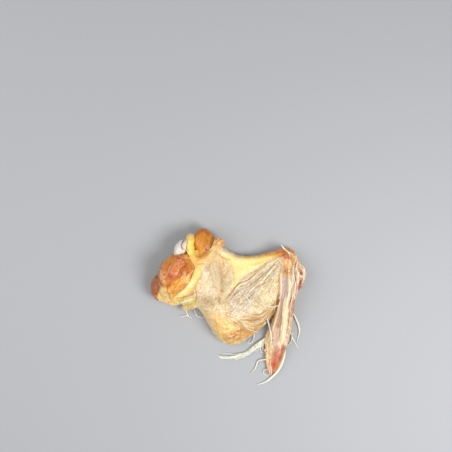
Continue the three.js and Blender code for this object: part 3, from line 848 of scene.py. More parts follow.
def dressSkin():
    look = skinLook
    piece = softCopy("wing_skin", "wingSkin", look["voxel"], look["rounds"])
    slide(piece, look["handMove"], lambda x, y: ramp(x, 45, 52) * ramp(y, -28, 0) * ramp(-y, -18, -8))
    slide(piece, look["thumbMove"], lambda x, y: spot(np.column_stack([x, y]), (59, 39), 9.5))
    surface = Surface(piece, skinHues, "under")
    points, plan, ragged = surface.points, surface.plan, surface.ragged
    zones = {name: zone(ragged, outline) for name, outline in skinZones.items()}
    zones["elbowWide"] = zone(ragged, skinZones["elbow"], 8)
    zones["webWide"] = zone(ragged, skinZones["web"], 9)
    zones["webRight"] = ramp(ragged[:, 0], 10, 46) * zone(ragged, skinZones["web"], 4)
    zones["mauve"] = zone(ragged, mauveOutline, 6)
    surface.lay(skinGround, zones)

    # rosy and pale blotches over the thin skin
    blotches = grain(plan, 4.2, 29)
    thin = np.clip(0.8 * zones["forearm"] + 0.5 * zones["arm"] + 0.8 * zones["bulge"], 0, 1)
    surface.shade(ramp(blotches, 0.05, 0.5) * thin, "blotch", 0.55)
    surface.paint(ramp(-blotches, 0.05, 0.5) * thin, "light", 0.35)

    surface.lay(skinMarks)
    # single folds: painted shade along the grooves and painted highlight along the ridges
    surface.crease(skinFolds, "crease", 0.8, ("light", 0.8))
    surface.carve(stroke(plan, purpleLine, 2.4), -0.5)

    # plump forms that the folds lie between, and corners that are drawn together
    surface.carve(zone(plan, skinZones["armPale"], 9), 0.9)
    surface.carve(zone(plan, skinZones["bulge"], 6), 0.5)
    surface.carve(stroke(plan, bandCentre, 3.4, 0), 0.7)
    for centre, radius, height in look["plump"]:
        surface.carve(spot(plan, centre, radius), height)
    for centre, radius, share in look["pinched"]:
        surface.pinch(centre, radius, share)
    pitch, seed, depth = look["knobLumps"]
    surface.carve(grain(points, pitch, seed) * zones["knob"], depth, True)

    # unevenness over the whole piece: broad sags, crepe wrinkles and goose bumps
    smooth = np.maximum(zones["flap"], band(plan, bandCentre, 4.0, 2.0))
    rough = np.clip(1 - 0.7 * zones["web"] - 0.4 * zones["armPale"] - 0.6 * zones["hand"]
                    - 0.6 * zones["rim"] - smooth, 0, 1)
    drawn = zones["forearm"] * (1 - 0.6 * zones["forearmRight"])
    creped = rough * (1 + 0.5 * zones["elbow"]) * (1 - 0.6 * drawn)
    creased = band(plan, elbowHollow, 4.0, 5.0) * (1 - 0.5 * drawn)
    fromWrist = plan - look["wristPull"]
    pulled = np.column_stack([np.linalg.norm(fromWrist, axis=1) / 4.0,
                              np.arctan2(fromWrist[:, 1], fromWrist[:, 0]) * 40])
    surface.carve(grain(points, 6.5, 21), look["sag"], True)
    pitch, seed, depth = look["trailLumps"]
    surface.carve(grain(points, pitch, seed) * zones["trail"], depth, True)
    # crepe wrinkles: painted shade in the valleys, painted highlight on the crests
    for pitch, seed, depth in look["crepe"]:
        surface.crepe(wrinkles(points, pitch, seed), creped, depth,
                      ("crepeShade", 0.18), ("light", 0.14), True)
    for fineness, seed, depth in look["pulledCrepe"]:
        surface.crepe(wrinkles(pulled * fineness, 1.0, seed), drawn, depth,
                      ("pulledShade", 0.42), ("pulledHighlight", 0.34))
    pitch, seed, depth = look["hollowCrepe"]
    surface.crepe(wrinkles(points, pitch, seed), creased, depth, ("hollowShade", 0.6), ("light", 0.35))
    pebbles = cobbles(points + 0.5 * grain(points, 2.0, 25)[:, None], look["cobblePitch"])
    lumpy = np.clip(0.1 + 0.7 * zones["forearmRight"] + 0.12 * zones["elbow"] - 0.1 * zones["web"]
                    - smooth, 0, 1)
    # pebbles: painted shade in the gaps between them and painted highlight on their tops
    surface.carve((pebbles - 0.6) * lumpy, look["cobbleDepth"], True)
    surface.shade((1 - pebbles) * lumpy, "pebbleGapShade", 0.45)
    surface.paint(pebbles * zones["forearmRight"], "light", 0.4)
    # dots on the web, with painted shade around them
    dots = follicles(surface, look["webDotSpacing"]) * zones["web"]
    surface.carve(dots, look["webDotHeight"])
    surface.shade(zones["web"] - dots, "webDotShade", 0.35)
    bumps = follicles(surface, look["follicleSpacing"])
    surface.carve(bumps * (0.4 + 0.6 * rough), look["follicleHeight"], True)
    # painted highlight on the tops of the goose bumps
    surface.paint(bumps * rough, "light", 0.3)
    surface.wet = 0.5 + grain(points, 8.0, 23) + 0.3 * zones["web"]
    surface.finish()
    dropFaces(piece, look["undersideShare"], surface.normals[:, 2] < 0)
    dropFaces(piece, look["faceShare"])
    place(piece, finishes["skin"], "skin", "wing_skin")
    return piece


wingSkin = dressSkin()


# Meat

meatLook = {
    "voxel": 0.85,
    "rounds": 30,
    "fattyMove": (0, 2.8, 0),  # the fatty end lies this much further up
    "fibreDepth": 0.16,
    "lump": 0.4,
    "plump": [((-22, 41), 5.0, 1.6), ((-14, 50), 6.0, 1.3), ((-27, 52), 7.0, 1.0)],  # place, radius, height
    "specks": 30,  # pale ones along the muscle's back edge
    "shreds": 16,  # of torn tissue by the bone
}

# The meat's own colours, with painted shade and highlight for grooves, strands and the tops of the lobe and
# side muscle
meatHues = huesOf({
    "main": (206, 130, 54), "mainGroove": (210, 158, 120), "backGroove": (214, 164, 126),
    "top": (224, 146, 68), "salmon": (222, 132, 86), "pink": (218, 130, 88), "blood": (178, 68, 54),
    "low": (242, 180, 84), "lowRight": (228, 164, 84), "speck": (240, 206, 184),
    "side": (172, 100, 58), "sideTop": (144, 84, 49), "sideLow": (200, 154, 104),
    "fatty": (250, 218, 142), "fattyGroove": (222, 176, 124), "fattyLight": (252, 232, 180),
    "lobe": (222, 146, 50), "lobeTop": (196, 116, 42), "lobeLow": (238, 166, 50),
    "lobeStreak": (170, 100, 40), "lobeGroove": (214, 182, 144), "lobeEdge": (141, 84, 30),
    "fascia": (240, 190, 122), "groove": (176, 96, 48), "crease": (206, 146, 96),
    "fibreGap": (214, 172, 140),
})

meatZones = {
    "main": [(-24, 38), (-32, 44), (-44, 42), (-53, 34), (-57, 24), (-52, 16), (-44, 8), (-36, 12),
             (-27, 22), (-24, 32)],
    "membrane": [(-33, 40), (-42, 42), (-52, 35), (-56, 25), (-50, 17), (-44, 21), (-38, 29)],
    "low": [(-36, 26), (-28, 24), (-32, 15), (-42, 9), (-48, 12), (-46, 19), (-40, 23)],
    "side": [(-52, 36), (-60, 32), (-66, 18), (-62, 2), (-54, 2), (-54, 14), (-57, 24)],
    "sideLow": [(-62, 8), (-56, 10), (-50, -4), (-58, -6), (-64, 0)],
    "fatty": [(-52, 18), (-56, 10), (-54, 0), (-44, -4), (-36, -2), (-38, 6), (-44, 8), (-48, 14)],
    "lobe": [(-28, 60), (-20, 66), (-10, 60), (-12, 50), (-17, 40), (-24, 42), (-27, 50)],
    "lobeTop": [(-30, 60), (-20, 68), (-8, 62), (-10, 56), (-20, 60), (-27, 56)],
}

meatGroove = [(-33, 36.5), (-37.5, 30), (-43, 22), (-46.5, 18.5), (-50, 15)]
meatEdge = [(-24, 37), (-26, 27), (-30, 19.5), (-37, 13), (-45, 8)]
meatBack = [(-36, 42), (-46, 40), (-55, 31), (-58, 20), (-54, 13)]
lobeLeft = [(-27, 62), (-27, 52), (-25, 42)]
lobeRight = [(-12, 62), (-12, 52), (-16, 41)]
sideLeft = [(-58, 34), (-64, 20), (-62, 0)]
sideRight = [(-53, 32), (-56, 16), (-54, 2)]
fattyIn = [(-47, 16), (-44, 9), (-38, 4)]
fattyOut = [(-58, 12), (-54, -2), (-42, -5)]

meatGround = [
    ("side", "side", 1),
    ("sideLow", "sideLow", 0.7),
    ("main", "main", 1),
    ("membrane", "top", 0.9),
    ("low", "low", 1),
    ("lobe", "lobe", 1),
    # painted shade darkening the top of the lobe
    ("lobeTop", "lobeTop", 0.85),
    ("spot", (-21, 44), 6, "lobeLow", 0.9),
    ("fatty", "fatty", 1),
    ("band", [(-29, 28), (-33, 19), (-40, 13)], 2.0, "lowRight", 0.8),
    ("spot", (-44, 28.5), 6.5, "pink", 0.9),
    ("spot", (-46.5, 24.5), 3.6, "blood", 0.9),
    ("band", [(-41, 41), (-37, 38.5), (-40, 34)], 2.2, "salmon", 0.9),
    ("spot", (-40.5, 41), 2.6, "blood", 0.4),
    ("band", [(-33, 40.5), (-26.5, 38.5), (-20, 39.5)], 1.6, "fascia", 0.9),
    ("stroke", [(-18, 57), (-17.6, 50), (-18.6, 43)], 2.0, "lobeStreak", 0.35),
    # painted shade over the top of the side muscle, a darker copy of its colour
    ("spot", (-57.5, 31), 6, "sideTop", 0.9),
    # rows of folds: painted shade in the grooves and painted highlight on the strands
    ("folds", meatGroove, meatEdge, (8, 16, 31), 0.15, ("mainGroove", 0.5), ("fascia", 0.3)),
    ("folds", meatBack, meatGroove, (5, 16, 32), 0.14, ("backGroove", 0.35), ("fascia", 0.2)),
    ("folds", lobeLeft, lobeRight, (5, 20, 33), 0.12, ("lobeGroove", 0.25), ("low", 0.2)),
    ("folds", sideLeft, sideRight, (3, 18, 34), 0.1, ("groove", 0.2), ("sideLow", 0.1)),
    ("folds", fattyIn, fattyOut, (4, 12, 35), 0.3, ("fattyGroove", 0.5), ("fattyLight", 0.5)),
]
meatAllRound = ("side", "sideTop", "sideLow", "lobe", "lobeTop", "fatty")  # colours that run on underneath

meatFolds = [
    (meatGroove, 2.2, -0.45),
    ([(-38.5, 32), (-37.5, 27), (-40, 22.5), (-44, 20)], 1.0, -0.45),  # edge of the pink patch
    ([(-57, 31), (-56.5, 24), (-53, 17.5), (-50, 15.5)], 1.4, -0.8),
    ([(-48.5, 18), (-49, 13), (-46, 8.5)], 1.2, -0.5),
    ([(-47, 12), (-46.5, 6), (-44, 3)], 1.1, -0.4),
    ([(-36, 40), (-33.5, 36), (-35, 32)], 1.2, -0.6),
    ([(-26, 40.5), (-22, 41.5), (-18, 41)], 1.2, 0.8),
]


def dressMeat():
    look = meatLook
    piece = softCopy("shoulder_meat", "shoulderMuscle", look["voxel"], look["rounds"])
    slide(piece, look["fattyMove"], lambda x, y: ramp(-y, -7, 0) * ramp(x, -54, -48) * ramp(-x, 34, 38))
    surface = Surface(piece, meatHues, "sideLow", 0.8)
    points, plan, ragged = surface.points, surface.plan, surface.ragged
    zones = {name: zone(ragged, outline, 2.4) for name, outline in meatZones.items()}
    surface.lay(meatGround, zones, meatAllRound)
    # single folds: painted shade along the grooves, and the fascia's colour along the ridge
    surface.crease(meatFolds, "crease", 1.0, ("fascia", 0.6))

    # torn tissue by the bone, and pale specks
    torn = band(plan, [(-43, 41), (-38.5, 39), (-36, 35), (-40, 33)], 2.6, 2.0)
    surface.carve(torn * grain(points, 1.7, 36), 0.7)
    random.seed(9)
    for turn in range(look["specks"]):
        along = random.random()
        centre = (-55.5 + 4.5 * along + random.gauss(0, 1.0), 32.5 - 15 * along + random.gauss(0, 1.0))
        mark = spot(plan, centre, random.uniform(0.6, 1.2))
        surface.carve(mark, 0.3)
        surface.paint(mark, "speck", 0.6)
    for turn in range(look["shreds"]):
        centre = (-39 + random.gauss(0, 2.4), 38 + random.gauss(0, 2.2))
        mark = spot(plan, centre, random.uniform(0.6, 1.1))
        surface.carve(mark, 0.35)
        surface.paint(mark, "speck", random.uniform(0.2, 0.6))

    # lumps, and fibres that run along the muscle
    surface.carve(grain(points, 5.0, 37), look["lump"], True)
    along, across = points @ (-0.45, -0.85, 0.25), points @ (0.88, -0.47, 0.1)
    fibres = grain(np.column_stack([along / 9, across / 1.5, points[:, 2] / 1.5]), 1.0, 39)
    surface.carve(fibres, look["fibreDepth"], True)
    # the gaps between fibres are darker, the muscle's grain and painted shade both; the fibre tops are
    # painted paler as highlight
    surface.shade(ramp(-fibres, 0.1, 0.5), "fibreGap", 0.6)
    surface.paint(ramp(fibres, 0.15, 0.5), "lowRight", 0.25)

    # it swells against the cut skin, and leaves no gap
    surface.carve(band(plan, meatEdge, 2.0, 3.0), 0.9)
    surface.carve(band(plan, [(-25, 37), (-27, 30), (-31, 22), (-37, 14.5)], 1.6, 2.6), 0.9)
    for centre, radius, height in look["plump"]:
        surface.carve(spot(plan, centre, radius), height)
    surface.carve(spot(plan, (-12.5, 57), 5.5), 1.3, True)
    # a painted shadow down the lobe's edge beside the fascia
    surface.paint(band(ragged, [(-11.5, 58), (-13.6, 51.5), (-16.6, 45)], 1.5, 2.0), "lobeEdge", 0.85)
    surface.wet = 0.5 + grain(points, 6.0, 38)
    surface.finish()
    place(piece, finishes["meat"], "meat", "shoulder_meat")
    return piece


shoulderMuscle = dressMeat()


# Cartilage and fat

cartilageHues = huesOf({
    "shaft": (240, 228, 204), "head": (228, 223, 215), "edge": (226, 206, 190),
    "edgeLight": (240, 228, 222), "parting": (140, 116, 116),
})
headParting = [(-33.8, 55.2), (-36.3, 52.8), (-37.4, 50), (-37, 47.4), (-35.4, 45.8)]

fatHues = huesOf({
    "main": (252, 226, 112), "head": (253, 214, 124), "low": (244, 188, 92), "light": (255, 244, 150),
})


def dressCartilage():
    piece = softCopy("humerus", "jointCartilage", 0.6, 24)
    surface = Surface(piece, cartilageHues, "shaft", 0)
    surface.lay([
        ("spot", (-39, 50), 10, "head", 1),
        ("band", [(-33.8, 54), (-34.8, 50.4), (-34.2, 46.5)], 1.9, 1.2, "edge", 1),
        # a painted highlight along the crescent's edge
        ("stroke", [(-33.6, 52), (-33.9, 48)], 1.2, "edgeLight", 0.8),
        # painted shade in the groove between the two lobes
        ("stroke", headParting, 0.9, "parting", 0.9),
    ], allRound=("head",))
    surface.carve(stroke(surface.plan, headParting, 1.1, 0), -0.5)
    surface.carve(grain(surface.points, 4.0, 41), 0.25, True)
    surface.finish()
    place(piece, finishes["cartilage"], "cartilage", "humerus")


def dressFat():
    piece = softCopy("shoulder_fat", "fatStrip", 0.5, 12)
    surface = Surface(piece, fatHues, "main", 0.6)
    surface.lay([
        ("spot", (-30.5, 57), 6, "head", 1),
        ("spot", (-27, 40), 5, "low", 1),
        ("stroke", [(-31.5, 54), (-31, 48), (-29.5, 44)], 1.6, "light", 0.8),
    ], allRound=("head", "low"))
    surface.carve(grain(surface.points, 2.8, 42), 0.5, True)
    surface.carve(grain(surface.points, 1.2, 43), 0.15, True)
    surface.carve(spot(surface.plan, (-29.6, 55), 6), 0.6, True)
    surface.finish()
    place(piece, finishes["fat"], "fat", "shoulder_fat")
    return piece


dressCartilage()
fatStrip = dressFat()


# Feathers and hairs

def strand(path, widths, sides=6, flat=1.0):
    # a tapering thread through points in space, drawn out ring by ring and shut at both ends
    form = bmesh.new()
    count = len(path)
    ring = bmesh.ops.create_circle(form, segments=sides, radius=1.0)["verts"]
    edges = list(form.edges)
    poses = []
    for index, spotAt in enumerate(path):
        ahead = Vector(path[min(index + 1, count - 1)]) - Vector(path[max(index - 1, 0)])
        turn = ahead.to_track_quat("Z", "Y").to_matrix().to_4x4()
        wide = np.interp(index / (count - 1), np.linspace(0, 1, len(widths)), widths) / 2
        size = Matrix.Diagonal((wide, wide * flat, 1.0, 1.0))
        poses.append(Matrix.Translation(Vector(spotAt)) @ turn @ size)
    bmesh.ops.transform(form, matrix=poses[0], verts=ring)
    bmesh.ops.contextual_create(form, geom=edges)
    for last, following in zip(poses, poses[1:]):
        grown = bmesh.ops.extrude_edge_only(form, edges=edges)["geom"]
        ring = [part for part in grown if isinstance(part, bmesh.types.BMVert)]
        edges = [part for part in grown if isinstance(part, bmesh.types.BMEdge)]
        bmesh.ops.transform(form, matrix=following @ last.inverted(), verts=ring)
    bmesh.ops.contextual_create(form, geom=edges)
    bmesh.ops.recalc_face_normals(form, faces=form.faces)
    return form


def bundle(name, strands, tints, *nodes):
    # joins threads into one piece, each with its own tint
    whole = bmesh.new()
    shades = []
    for form, colour in zip(strands, tints):
        shades.extend([colour] * len(form.verts))
        part = meshOf(form, "part")
        whole.from_mesh(part)
        bpy.data.meshes.remove(part)
    mesh = meshOf(whole, name)
    mesh.transform(Matrix.Scale(mm, 4))
    writeTint(mesh, np.array(shades))
    mesh.shade_smooth()
    place(addPiece(name, mesh), finishes["feather"], "feather", *nodes)


def makeSight(pieces):
    # gives two readings: the height seen at a plan place, or None, and the point in space there
    trees = []
    for piece in pieces:
        trees.append(BVHTree.FromPolygons([tuple(row) for row in readPoints(piece.data)],
                                          [tuple(face.vertices) for face in piece.data.polygons]))
    eye = Vector((*viewing["over"], viewing["height"]))
    held = {"height": 5.0}  # past an edge, a thread stays as high as it was

    def seenHeight(place):
        aim = (Vector((*place, viewing["planHeight"])) - eye).normalized()
        hits = [tree.ray_cast(eye, aim) for tree in trees]
        return max((hit[0].z for hit in hits if hit[0] is not None), default=None)

    def drop(place, above=0.0):
        height = seenHeight(place)
        if height is not None:
            held["height"] = height
        aim = Vector((*place, viewing["planHeight"])) - eye
        return eye + aim * ((held["height"] + above - eye.z) / aim.z)

    return seenHeight, drop


seenHeight, drop = makeSight([wingSkin, shoulderMuscle, fatStrip])


featherHues = huesOf({
    "plume": (247, 244, 234), "tip": (252, 248, 226), "loose": (252, 246, 226), "hair": (252, 240, 216),
    "pin": (255, 246, 226), "fibre": (255, 242, 208),
})


def lifted(line):
    # plan places with heights of their own, moved along the line of sight to those heights
    eye = np.array(viewing["over"])
    out = []
    for x, y, z in line:
        reach = (viewing["height"] - z) / (viewing["height"] - viewing["planHeight"])
        out.append((*(eye + (np.array([x, y]) - eye) * reach), z))
    return out


def drape(line, above):
    # a path that bridges hollows, as each point takes the greatest height near it
    flat = smoothPath(line, 0.7)
    heights = np.array([drop(spotAt).z for spotAt in flat])
    raised = np.array([heights[max(0, index - 4):index + 5].max() for index in range(len(heights))])
    evened = np.convolve(np.pad(raised, 3, mode="edge"), np.ones(7) / 7, mode="valid")
    return lifted([(x, y, z + above) for (x, y), z in zip(flat, evened)])


def wavy(path, amount, pitch, seed):
    # a path in space with small bends
    points = np.array(path, float)
    bend = np.column_stack([grain(points, pitch, seed), grain(points, pitch, seed + 1),
                            0.4 * grain(points, pitch, seed + 2)])
    return points + bend * amount


fasciaLook = {
    "outline": [(-8.5, 57), (-4.5, 53), (-5, 47.5), (-9.5, 43.5), (-13, 38.5), (-16.5, 34.5), (-22, 31),
                (-26, 33), (-29.5, 39), (-28.5, 44.5), (-25, 44.5), (-20.5, 42.5), (-16.6, 43.5),
                (-14.6, 48), (-12, 53)],
    "pitch": 0.5,
    "bridge": 2.5,  # hollows up to twice as wide are spanned
    "lift": 0.3,
    "sunk": 1.5,  # how deep its rim lies under the pieces beside it
    "soft": 4.0,
    "thick": 1.2,
}

fasciaHues = huesOf({
    "sheet": (246, 208, 142), "left": (246, 190, 92), "middle": (230, 156, 62), "corner": (250, 212, 100),
    "right": (236, 178, 112), "groove": (226, 176, 122), "light": (255, 232, 178),
})
fasciaTop = [(-11.5, 57), (-14.5, 49), (-18, 43.5), (-24, 42), (-30, 41)]
fasciaLow = [(-4, 52), (-8, 45.5), (-12.5, 39), (-18, 34), (-24, 31)]


def spread(heights, cells, choose):
    # the greatest or least height within so many cells of each
    out = heights.copy()
    padded = np.pad(heights, cells, mode="edge")
    rows, columns = heights.shape
    for down in range(-cells, cells + 1):
        for right in range(-cells, cells + 1):
            if down**2 + right**2 <= cells**2 + 1:
                out = choose(out, padded[cells + down:cells + down + rows,
                                         cells + right:cells + right + columns])
    return out


def makeFascia():
    # the thin sheet of tissue over the joint between the lobe, the fat and the cut skin
    look = fasciaLook
    outline = np.array(look["outline"])
    low = outline.min(0) - look["soft"]
    rows, columns = ((outline.max(0) + look["soft"] - low) / look["pitch"]).astype(int)
    cells = np.array([(row, column) for row in range(rows) for column in range(columns)])
    places = low + look["pitch"] * cells
    readings = [seenHeight(spotAt) for spotAt in places]
    seen = np.array([height or 0.0 for height in readings]).reshape(rows, columns)
    held = np.array([height is not None for height in readings], float).reshape(rows, columns)
    bridge = int(look["bridge"] / look["pitch"])
    spanned = spread(spread(seen, bridge, np.maximum), bridge, np.minimum)
    near = spread(held, 2, np.minimum)  # it keeps off the pieces' outer edges
    covered = near * spread(held, 4, np.minimum) * 0.5 + near * 0.5
    inside = zone(places, outline, look["soft"]) * covered.ravel()
    raised = spanned.ravel() + (look["lift"] + look["sunk"]) * inside - look["sunk"]
    heights = np.where(inside > 0, raised, 0)
    form = bmesh.new()
    bmesh.ops.create_grid(form, x_segments=rows - 1, y_segments=columns - 1, size=1.0)
    spare = []
    for vertex in form.verts:
        row = round((vertex.co.x + 1) / 2 * (rows - 1))
        index = row * columns + round((vertex.co.y + 1) / 2 * (columns - 1))
        vertex.co = Vector(lifted([(*places[index], heights[index])])[0])
        if inside[index] <= 0:
            spare.append(vertex)
    bmesh.ops.delete(form, geom=spare, context="VERTS")
    for turn in range(6):
        relax(form, 0.5)
    lower = bmesh.ops.extrude_face_region(form, geom=form.faces[:])["geom"]
    lower = [part for part in lower if isinstance(part, bmesh.types.BMVert)]
    bmesh.ops.translate(form, vec=(0, 0, -look["thick"]), verts=lower)
    bmesh.ops.recalc_face_normals(form, faces=form.faces)
    bmesh.ops.scale(form, vec=(mm, mm, mm), verts=form.verts)
    piece = addPiece("lobeFascia", meshOf(form, "lobeFascia"))
    modify(piece, "SUBSURF", levels=1, render_levels=1)
    surface = Surface(piece, fasciaHues, "sheet", 0.8)
    surface.lay([
        ("spot", (-25.5, 38.5), 8, "left", 1),
        ("spot", (-20.5, 42), 5, "middle", 1),
        ("spot", (-26.6, 44.4), 3.6, "corner", 1),
        ("spot", (-6.5, 52.5), 7, "right", 1),
        # folds: painted shade in the grooves and painted highlight on the strands
        ("folds", fasciaTop, fasciaLow, (5, 14, 61), 0.35, ("groove", 0.6), ("light", 0.8)),
    ], allRound=fasciaHues)
    surface.carve(grain(surface.points, 2.6, 62), 0.35, True)
    surface.wet += 0.7
    surface.finish()
    place(piece, finishes["meat"], "meat")


feathersLook = {
    "plumeBarbs": 120,
    "tipBarbs": 40,
    "barbWidth": 0.5,
}

plumeLine = [(32, -22.5, 3.6), (28.5, -26.5, 2.4), (24, -31, 1.6), (16, -36.2, 1.4), (7.5, -39, 1.3),
             (-1, -40.2, 1.2), (-6.5, -39.4, 1.1), (-10.3, -37.6, 0.9)]
tipLine = [(45.6, -33.5, 3.4), (44.6, -40, 2.6), (41.8, -47.4, 2.0), (38, -52.8, 1.6), (32.4, -58, 1.3),
           (28, -60.4, 1.0), (23.5, -61.6, 0.8)]
sideCurls = [  # in plan, beside the large feather
    [(10, -36.8), (4, -37.4), (-1, -36.9), (-4.6, -36.2)],
    [(16, -37.8), (9, -40.8), (4, -41.4), (0, -41.8)],
    [(22, -34), (14, -38.6), (8, -41.2), (6.4, -42.4)],
    [(27.5, -28.5), (25.5, -32.5), (26.4, -35.6), (28.4, -36.4)],
    [(28.5, -30), (27.8, -33.4), (29.2, -35)],
]


def barbs(line, count, leftShare, lengths, slant, seed):
    # thin side threads that leave the shaft at a slant and lie back along it
    random.seed(seed)
    path = smoothPath(lifted(line), 0.5)
    threads, tints = [], []
    for turn in range(count):
        start = random.uniform(0.0, 0.85)
        side = 1 if random.random() < leftShare else -1
        index = int(start * (len(path) - 1))
        length = np.interp(start, np.linspace(0, 1, len(lengths)), lengths) * random.uniform(0.7, 1.15)
        length = min(length, (1 - start) * len(path) * 0.5 * random.uniform(0.8, 1.0))
        stand = slant * (1.2 - 0.8 * start) * random.uniform(0.4, 1.1) * side
        points = []
        for step in range(8):
            share = step / 7
            here = min(index + int(share * length / 0.5), len(path) - 1)
            ahead = path[min(here + 1, len(path) - 1)] - path[max(here - 1, 0)]
            across = np.array([-ahead[1], ahead[0], 0]) / (np.linalg.norm(ahead[:2]) + 1e-6)
            out = stand * math.sin(share * math.pi * 0.6) * length / 5
            spotAt = path[here] + across * out
            points.append((spotAt[0], spotAt[1], max(0.35, spotAt[2] + random.uniform(-0.1, 0.5))))
        widths = [feathersLook["barbWidth"], feathersLook["barbWidth"] * 0.8, 0.1]
        threads.append(strand(wavy(points, 0.5, 3.0, seed + turn * 0.37), widths, 5))
        tints.append(featherHues["plume"] * random.uniform(0.86, 1.06) * (1, 1, random.uniform(0.94, 1)))
    return threads, tints


def makePlume():
    shaft = strand(smoothPath(lifted(plumeLine), 1.0), [1.6, 1.8, 1.7, 1.3, 0.8, 0.3], 10, 0.6)
    threads, tints = barbs(plumeLine, feathersLook["plumeBarbs"], 0.4, [13, 13, 11, 9, 6], 0.85, 21)
    for line in sideCurls:
        path = lifted([(x, y, 1.2) for x, y in smoothPath(line, 0.8)])
        threads.append(strand(wavy(path, 0.6, 3.0, 24), [0.6, 0.7, 0.5, 0.15], 5))
    tints = [featherHues["plume"]] + tints + [featherHues["plume"]] * len(sideCurls)
    bundle("plumeFeather", [shaft] + threads, tints, "wisp_feather")


def makeTipFeather():
    shaft = strand(smoothPath(lifted(tipLine), 1.0), [1.2, 1.9, 2.2, 2.1, 1.8, 1.3, 0.5], 8, 0.7)
    threads, tints = barbs(tipLine, feathersLook["tipBarbs"], 0.1, [4, 4, 4, 3, 2], 1.1, 22)
    bundle("tipFeather", [shaft] + threads, [featherHues["tip"]] + tints, "tip_feather")


makeFascia()
makePlume()
makeTipFeather()

# Loose threads in plan: the line, then its widths from root to end
looseThreads = [
    ([(31, -41.5), (27, -42), (24, -43.2), (22.5, -46.5), (21.5, -49), (17.5, -53.5)],
     [1.0, 0.9, 1.0, 0.3]),
    ([(31.5, -49.5), (29.5, -50), (28, -51.5), (28.6, -53.3), (30.5, -54), (32, -55)], [0.6, 0.6, 0.4]),
    ([(51.5, -4), (53, -6.5), (56, -13), (57, -18.5), (56, -24.5), (55, -28)], [0.7, 1.3, 1.4, 0.8, 0.3]),
    ([(48.5, -15), (49.5, -19), (51.5, -24.5), (54.5, -30), (57, -33.5)], [0.7, 0.8, 0.7, 0.3]),
    ([(51.6, -20), (51, -23.5), (50.5, -26.5), (48, -30), (46.5, -32)], [0.6, 0.6, 0.3]),
    ([(21, -19.5), (20.5, -25), (18.5, -28.3), (16, -28.2), (17, -26), (19, -25.2)], [0.9, 0.7, 0.6, 0.3]),
    ([(27, -30.5), (29, -34), (31, -33)], [0.5, 0.6, 0.4]),
    ([(-29.5, 3), (-25.5, 0.7), (-22, 1.7), (-19, 1)], [0.7, 0.5, 0.3]),
    ([(-38, -7.6), (-33, -6.6), (-29, -8.6)], [0.3, 0.7, 0.4]),
    ([(-34, 1), (-33, -4.5), (-30.5, -8)], [0.9, 0.8, 0.3]),
    ([(-27, -2.5), (-25, -6.6), (-20.5, -8.4), (-18, -7.6)], [0.5, 0.6, 0.3]),
]

# Threads that lie on the skin
skinThreads = [
    ([(31, -8.5), (32.5, -13), (34, -19.5), (35, -29), (36, -33)], [0.5, 1.2, 1.1, 0.7, 0.3]),
    ([(11.5, 11), (15, 8.2), (17.5, 3.8)], [0.35, 0.8, 0.5]),
    ([(4, 4), (6.5, 1), (8.5, -3.2)], [0.3, 0.6, 0.3]),
    ([(7.5, 13.5), (9, 15.5), (12, 16.5), (17, 17.5)], [0.4, 0.5, 0.3]),
    ([(26.5, 18), (27.6, 16), (28.5, 13)], [0.4, 0.5, 0.3]),
    ([(30.5, 2), (35, 0.6), (40.5, 1.6)], [0.4, 0.7, 0.4]),
    ([(54, 32), (57, 26.5), (59.6, 23.8)], [0.5, 0.9, 0.5]),
    ([(55.5, 37), (55, 31), (56.5, 25), (55.6, 17)], [0.5, 0.7, 0.5, 0.3]),
    ([(52.5, 34), (52, 27), (53.8, 19), (53, 11)], [0.5, 0.7, 0.5, 0.3]),
    ([(12, -14), (17, -17.5), (24, -20)], [0.4, 0.7, 0.3]),
    ([(24.5, 27), (30, 30.5), (36, 35)], [0.3, 0.5, 0.3]),
    ([(42.4, 50.2), (44.4, 47.4), (47.6, 44.8), (51.6, 42)], [0.5, 1.0, 0.9, 0.3]),
    ([(43.6, 49.4), (45.8, 46.2), (48, 44), (49.5, 41)], [0.3, 0.6, 0.6, 0.3]),
    ([(57, 35), (60.4, 32), (61.3, 27), (60.6, 22), (58.4, 17)], [0.3, 0.6, 0.7, 0.5, 0.3]),
    ([(56.4, 33), (59.6, 29.5), (60.2, 24), (58.8, 19)], [0.3, 0.5, 0.5, 0.3]),
    ([(33.8, -45), (34.8, -50), (34.4, -54)], [0.3, 0.6, 0.3]),
    ([(33.2, -24.4), (35.6, -24.8), (38.4, -24.2)], [0.3, 0.5, 0.3]),
    ([(33.5, -27.4), (34.6, -31), (36.8, -33.6)], [0.3, 0.5, 0.3]),
]


def layFibres(first, second, shares, count, length, width, seed):
    # random fine threads that lie along the folds between two guide lines, over a part of their run
    random.seed(seed)
    one, two = smoothPath(first, 0.5), smoothPath(second, 0.5)
    reach = np.linalg.norm(np.diff(one, axis=0), axis=1).sum()
    threads, tints = [], []
    for turn in range(count):
        start = random.uniform(*shares)
        end = min(1.0, start + length * random.uniform(0.5, 1.3) / reach)
        across = random.uniform(0.08, 0.92)
        swerve = random.uniform(-0.1, 0.1)
        path = []
        for step in range(9):
            share = start + (end - start) * step / 8
            here = across + swerve * step / 8 + 0.02 * math.sin(step * 1.7 + turn)
            middle = one[int(share * (len(one) - 1))] * (1 - here) + two[int(share * (len(two) - 1))] * here
            path.append(tuple(drop(middle, 0.08)))
        wide = width * random.uniform(0.6, 1.2)
        threads.append(strand(smoothPath(path, 0.8), [0.15, wide, wide, 0.1], 5, 0.6))
        tints.append(featherHues["fibre"] * random.uniform(0.93, 1.0))
    return threads, tints


threadsLook = {
    "looseWidth": 1.25,  # times the widths above
    "hairWidth": 1.3,
    "pinFeathers": 15,
    "tufts": 5,
}


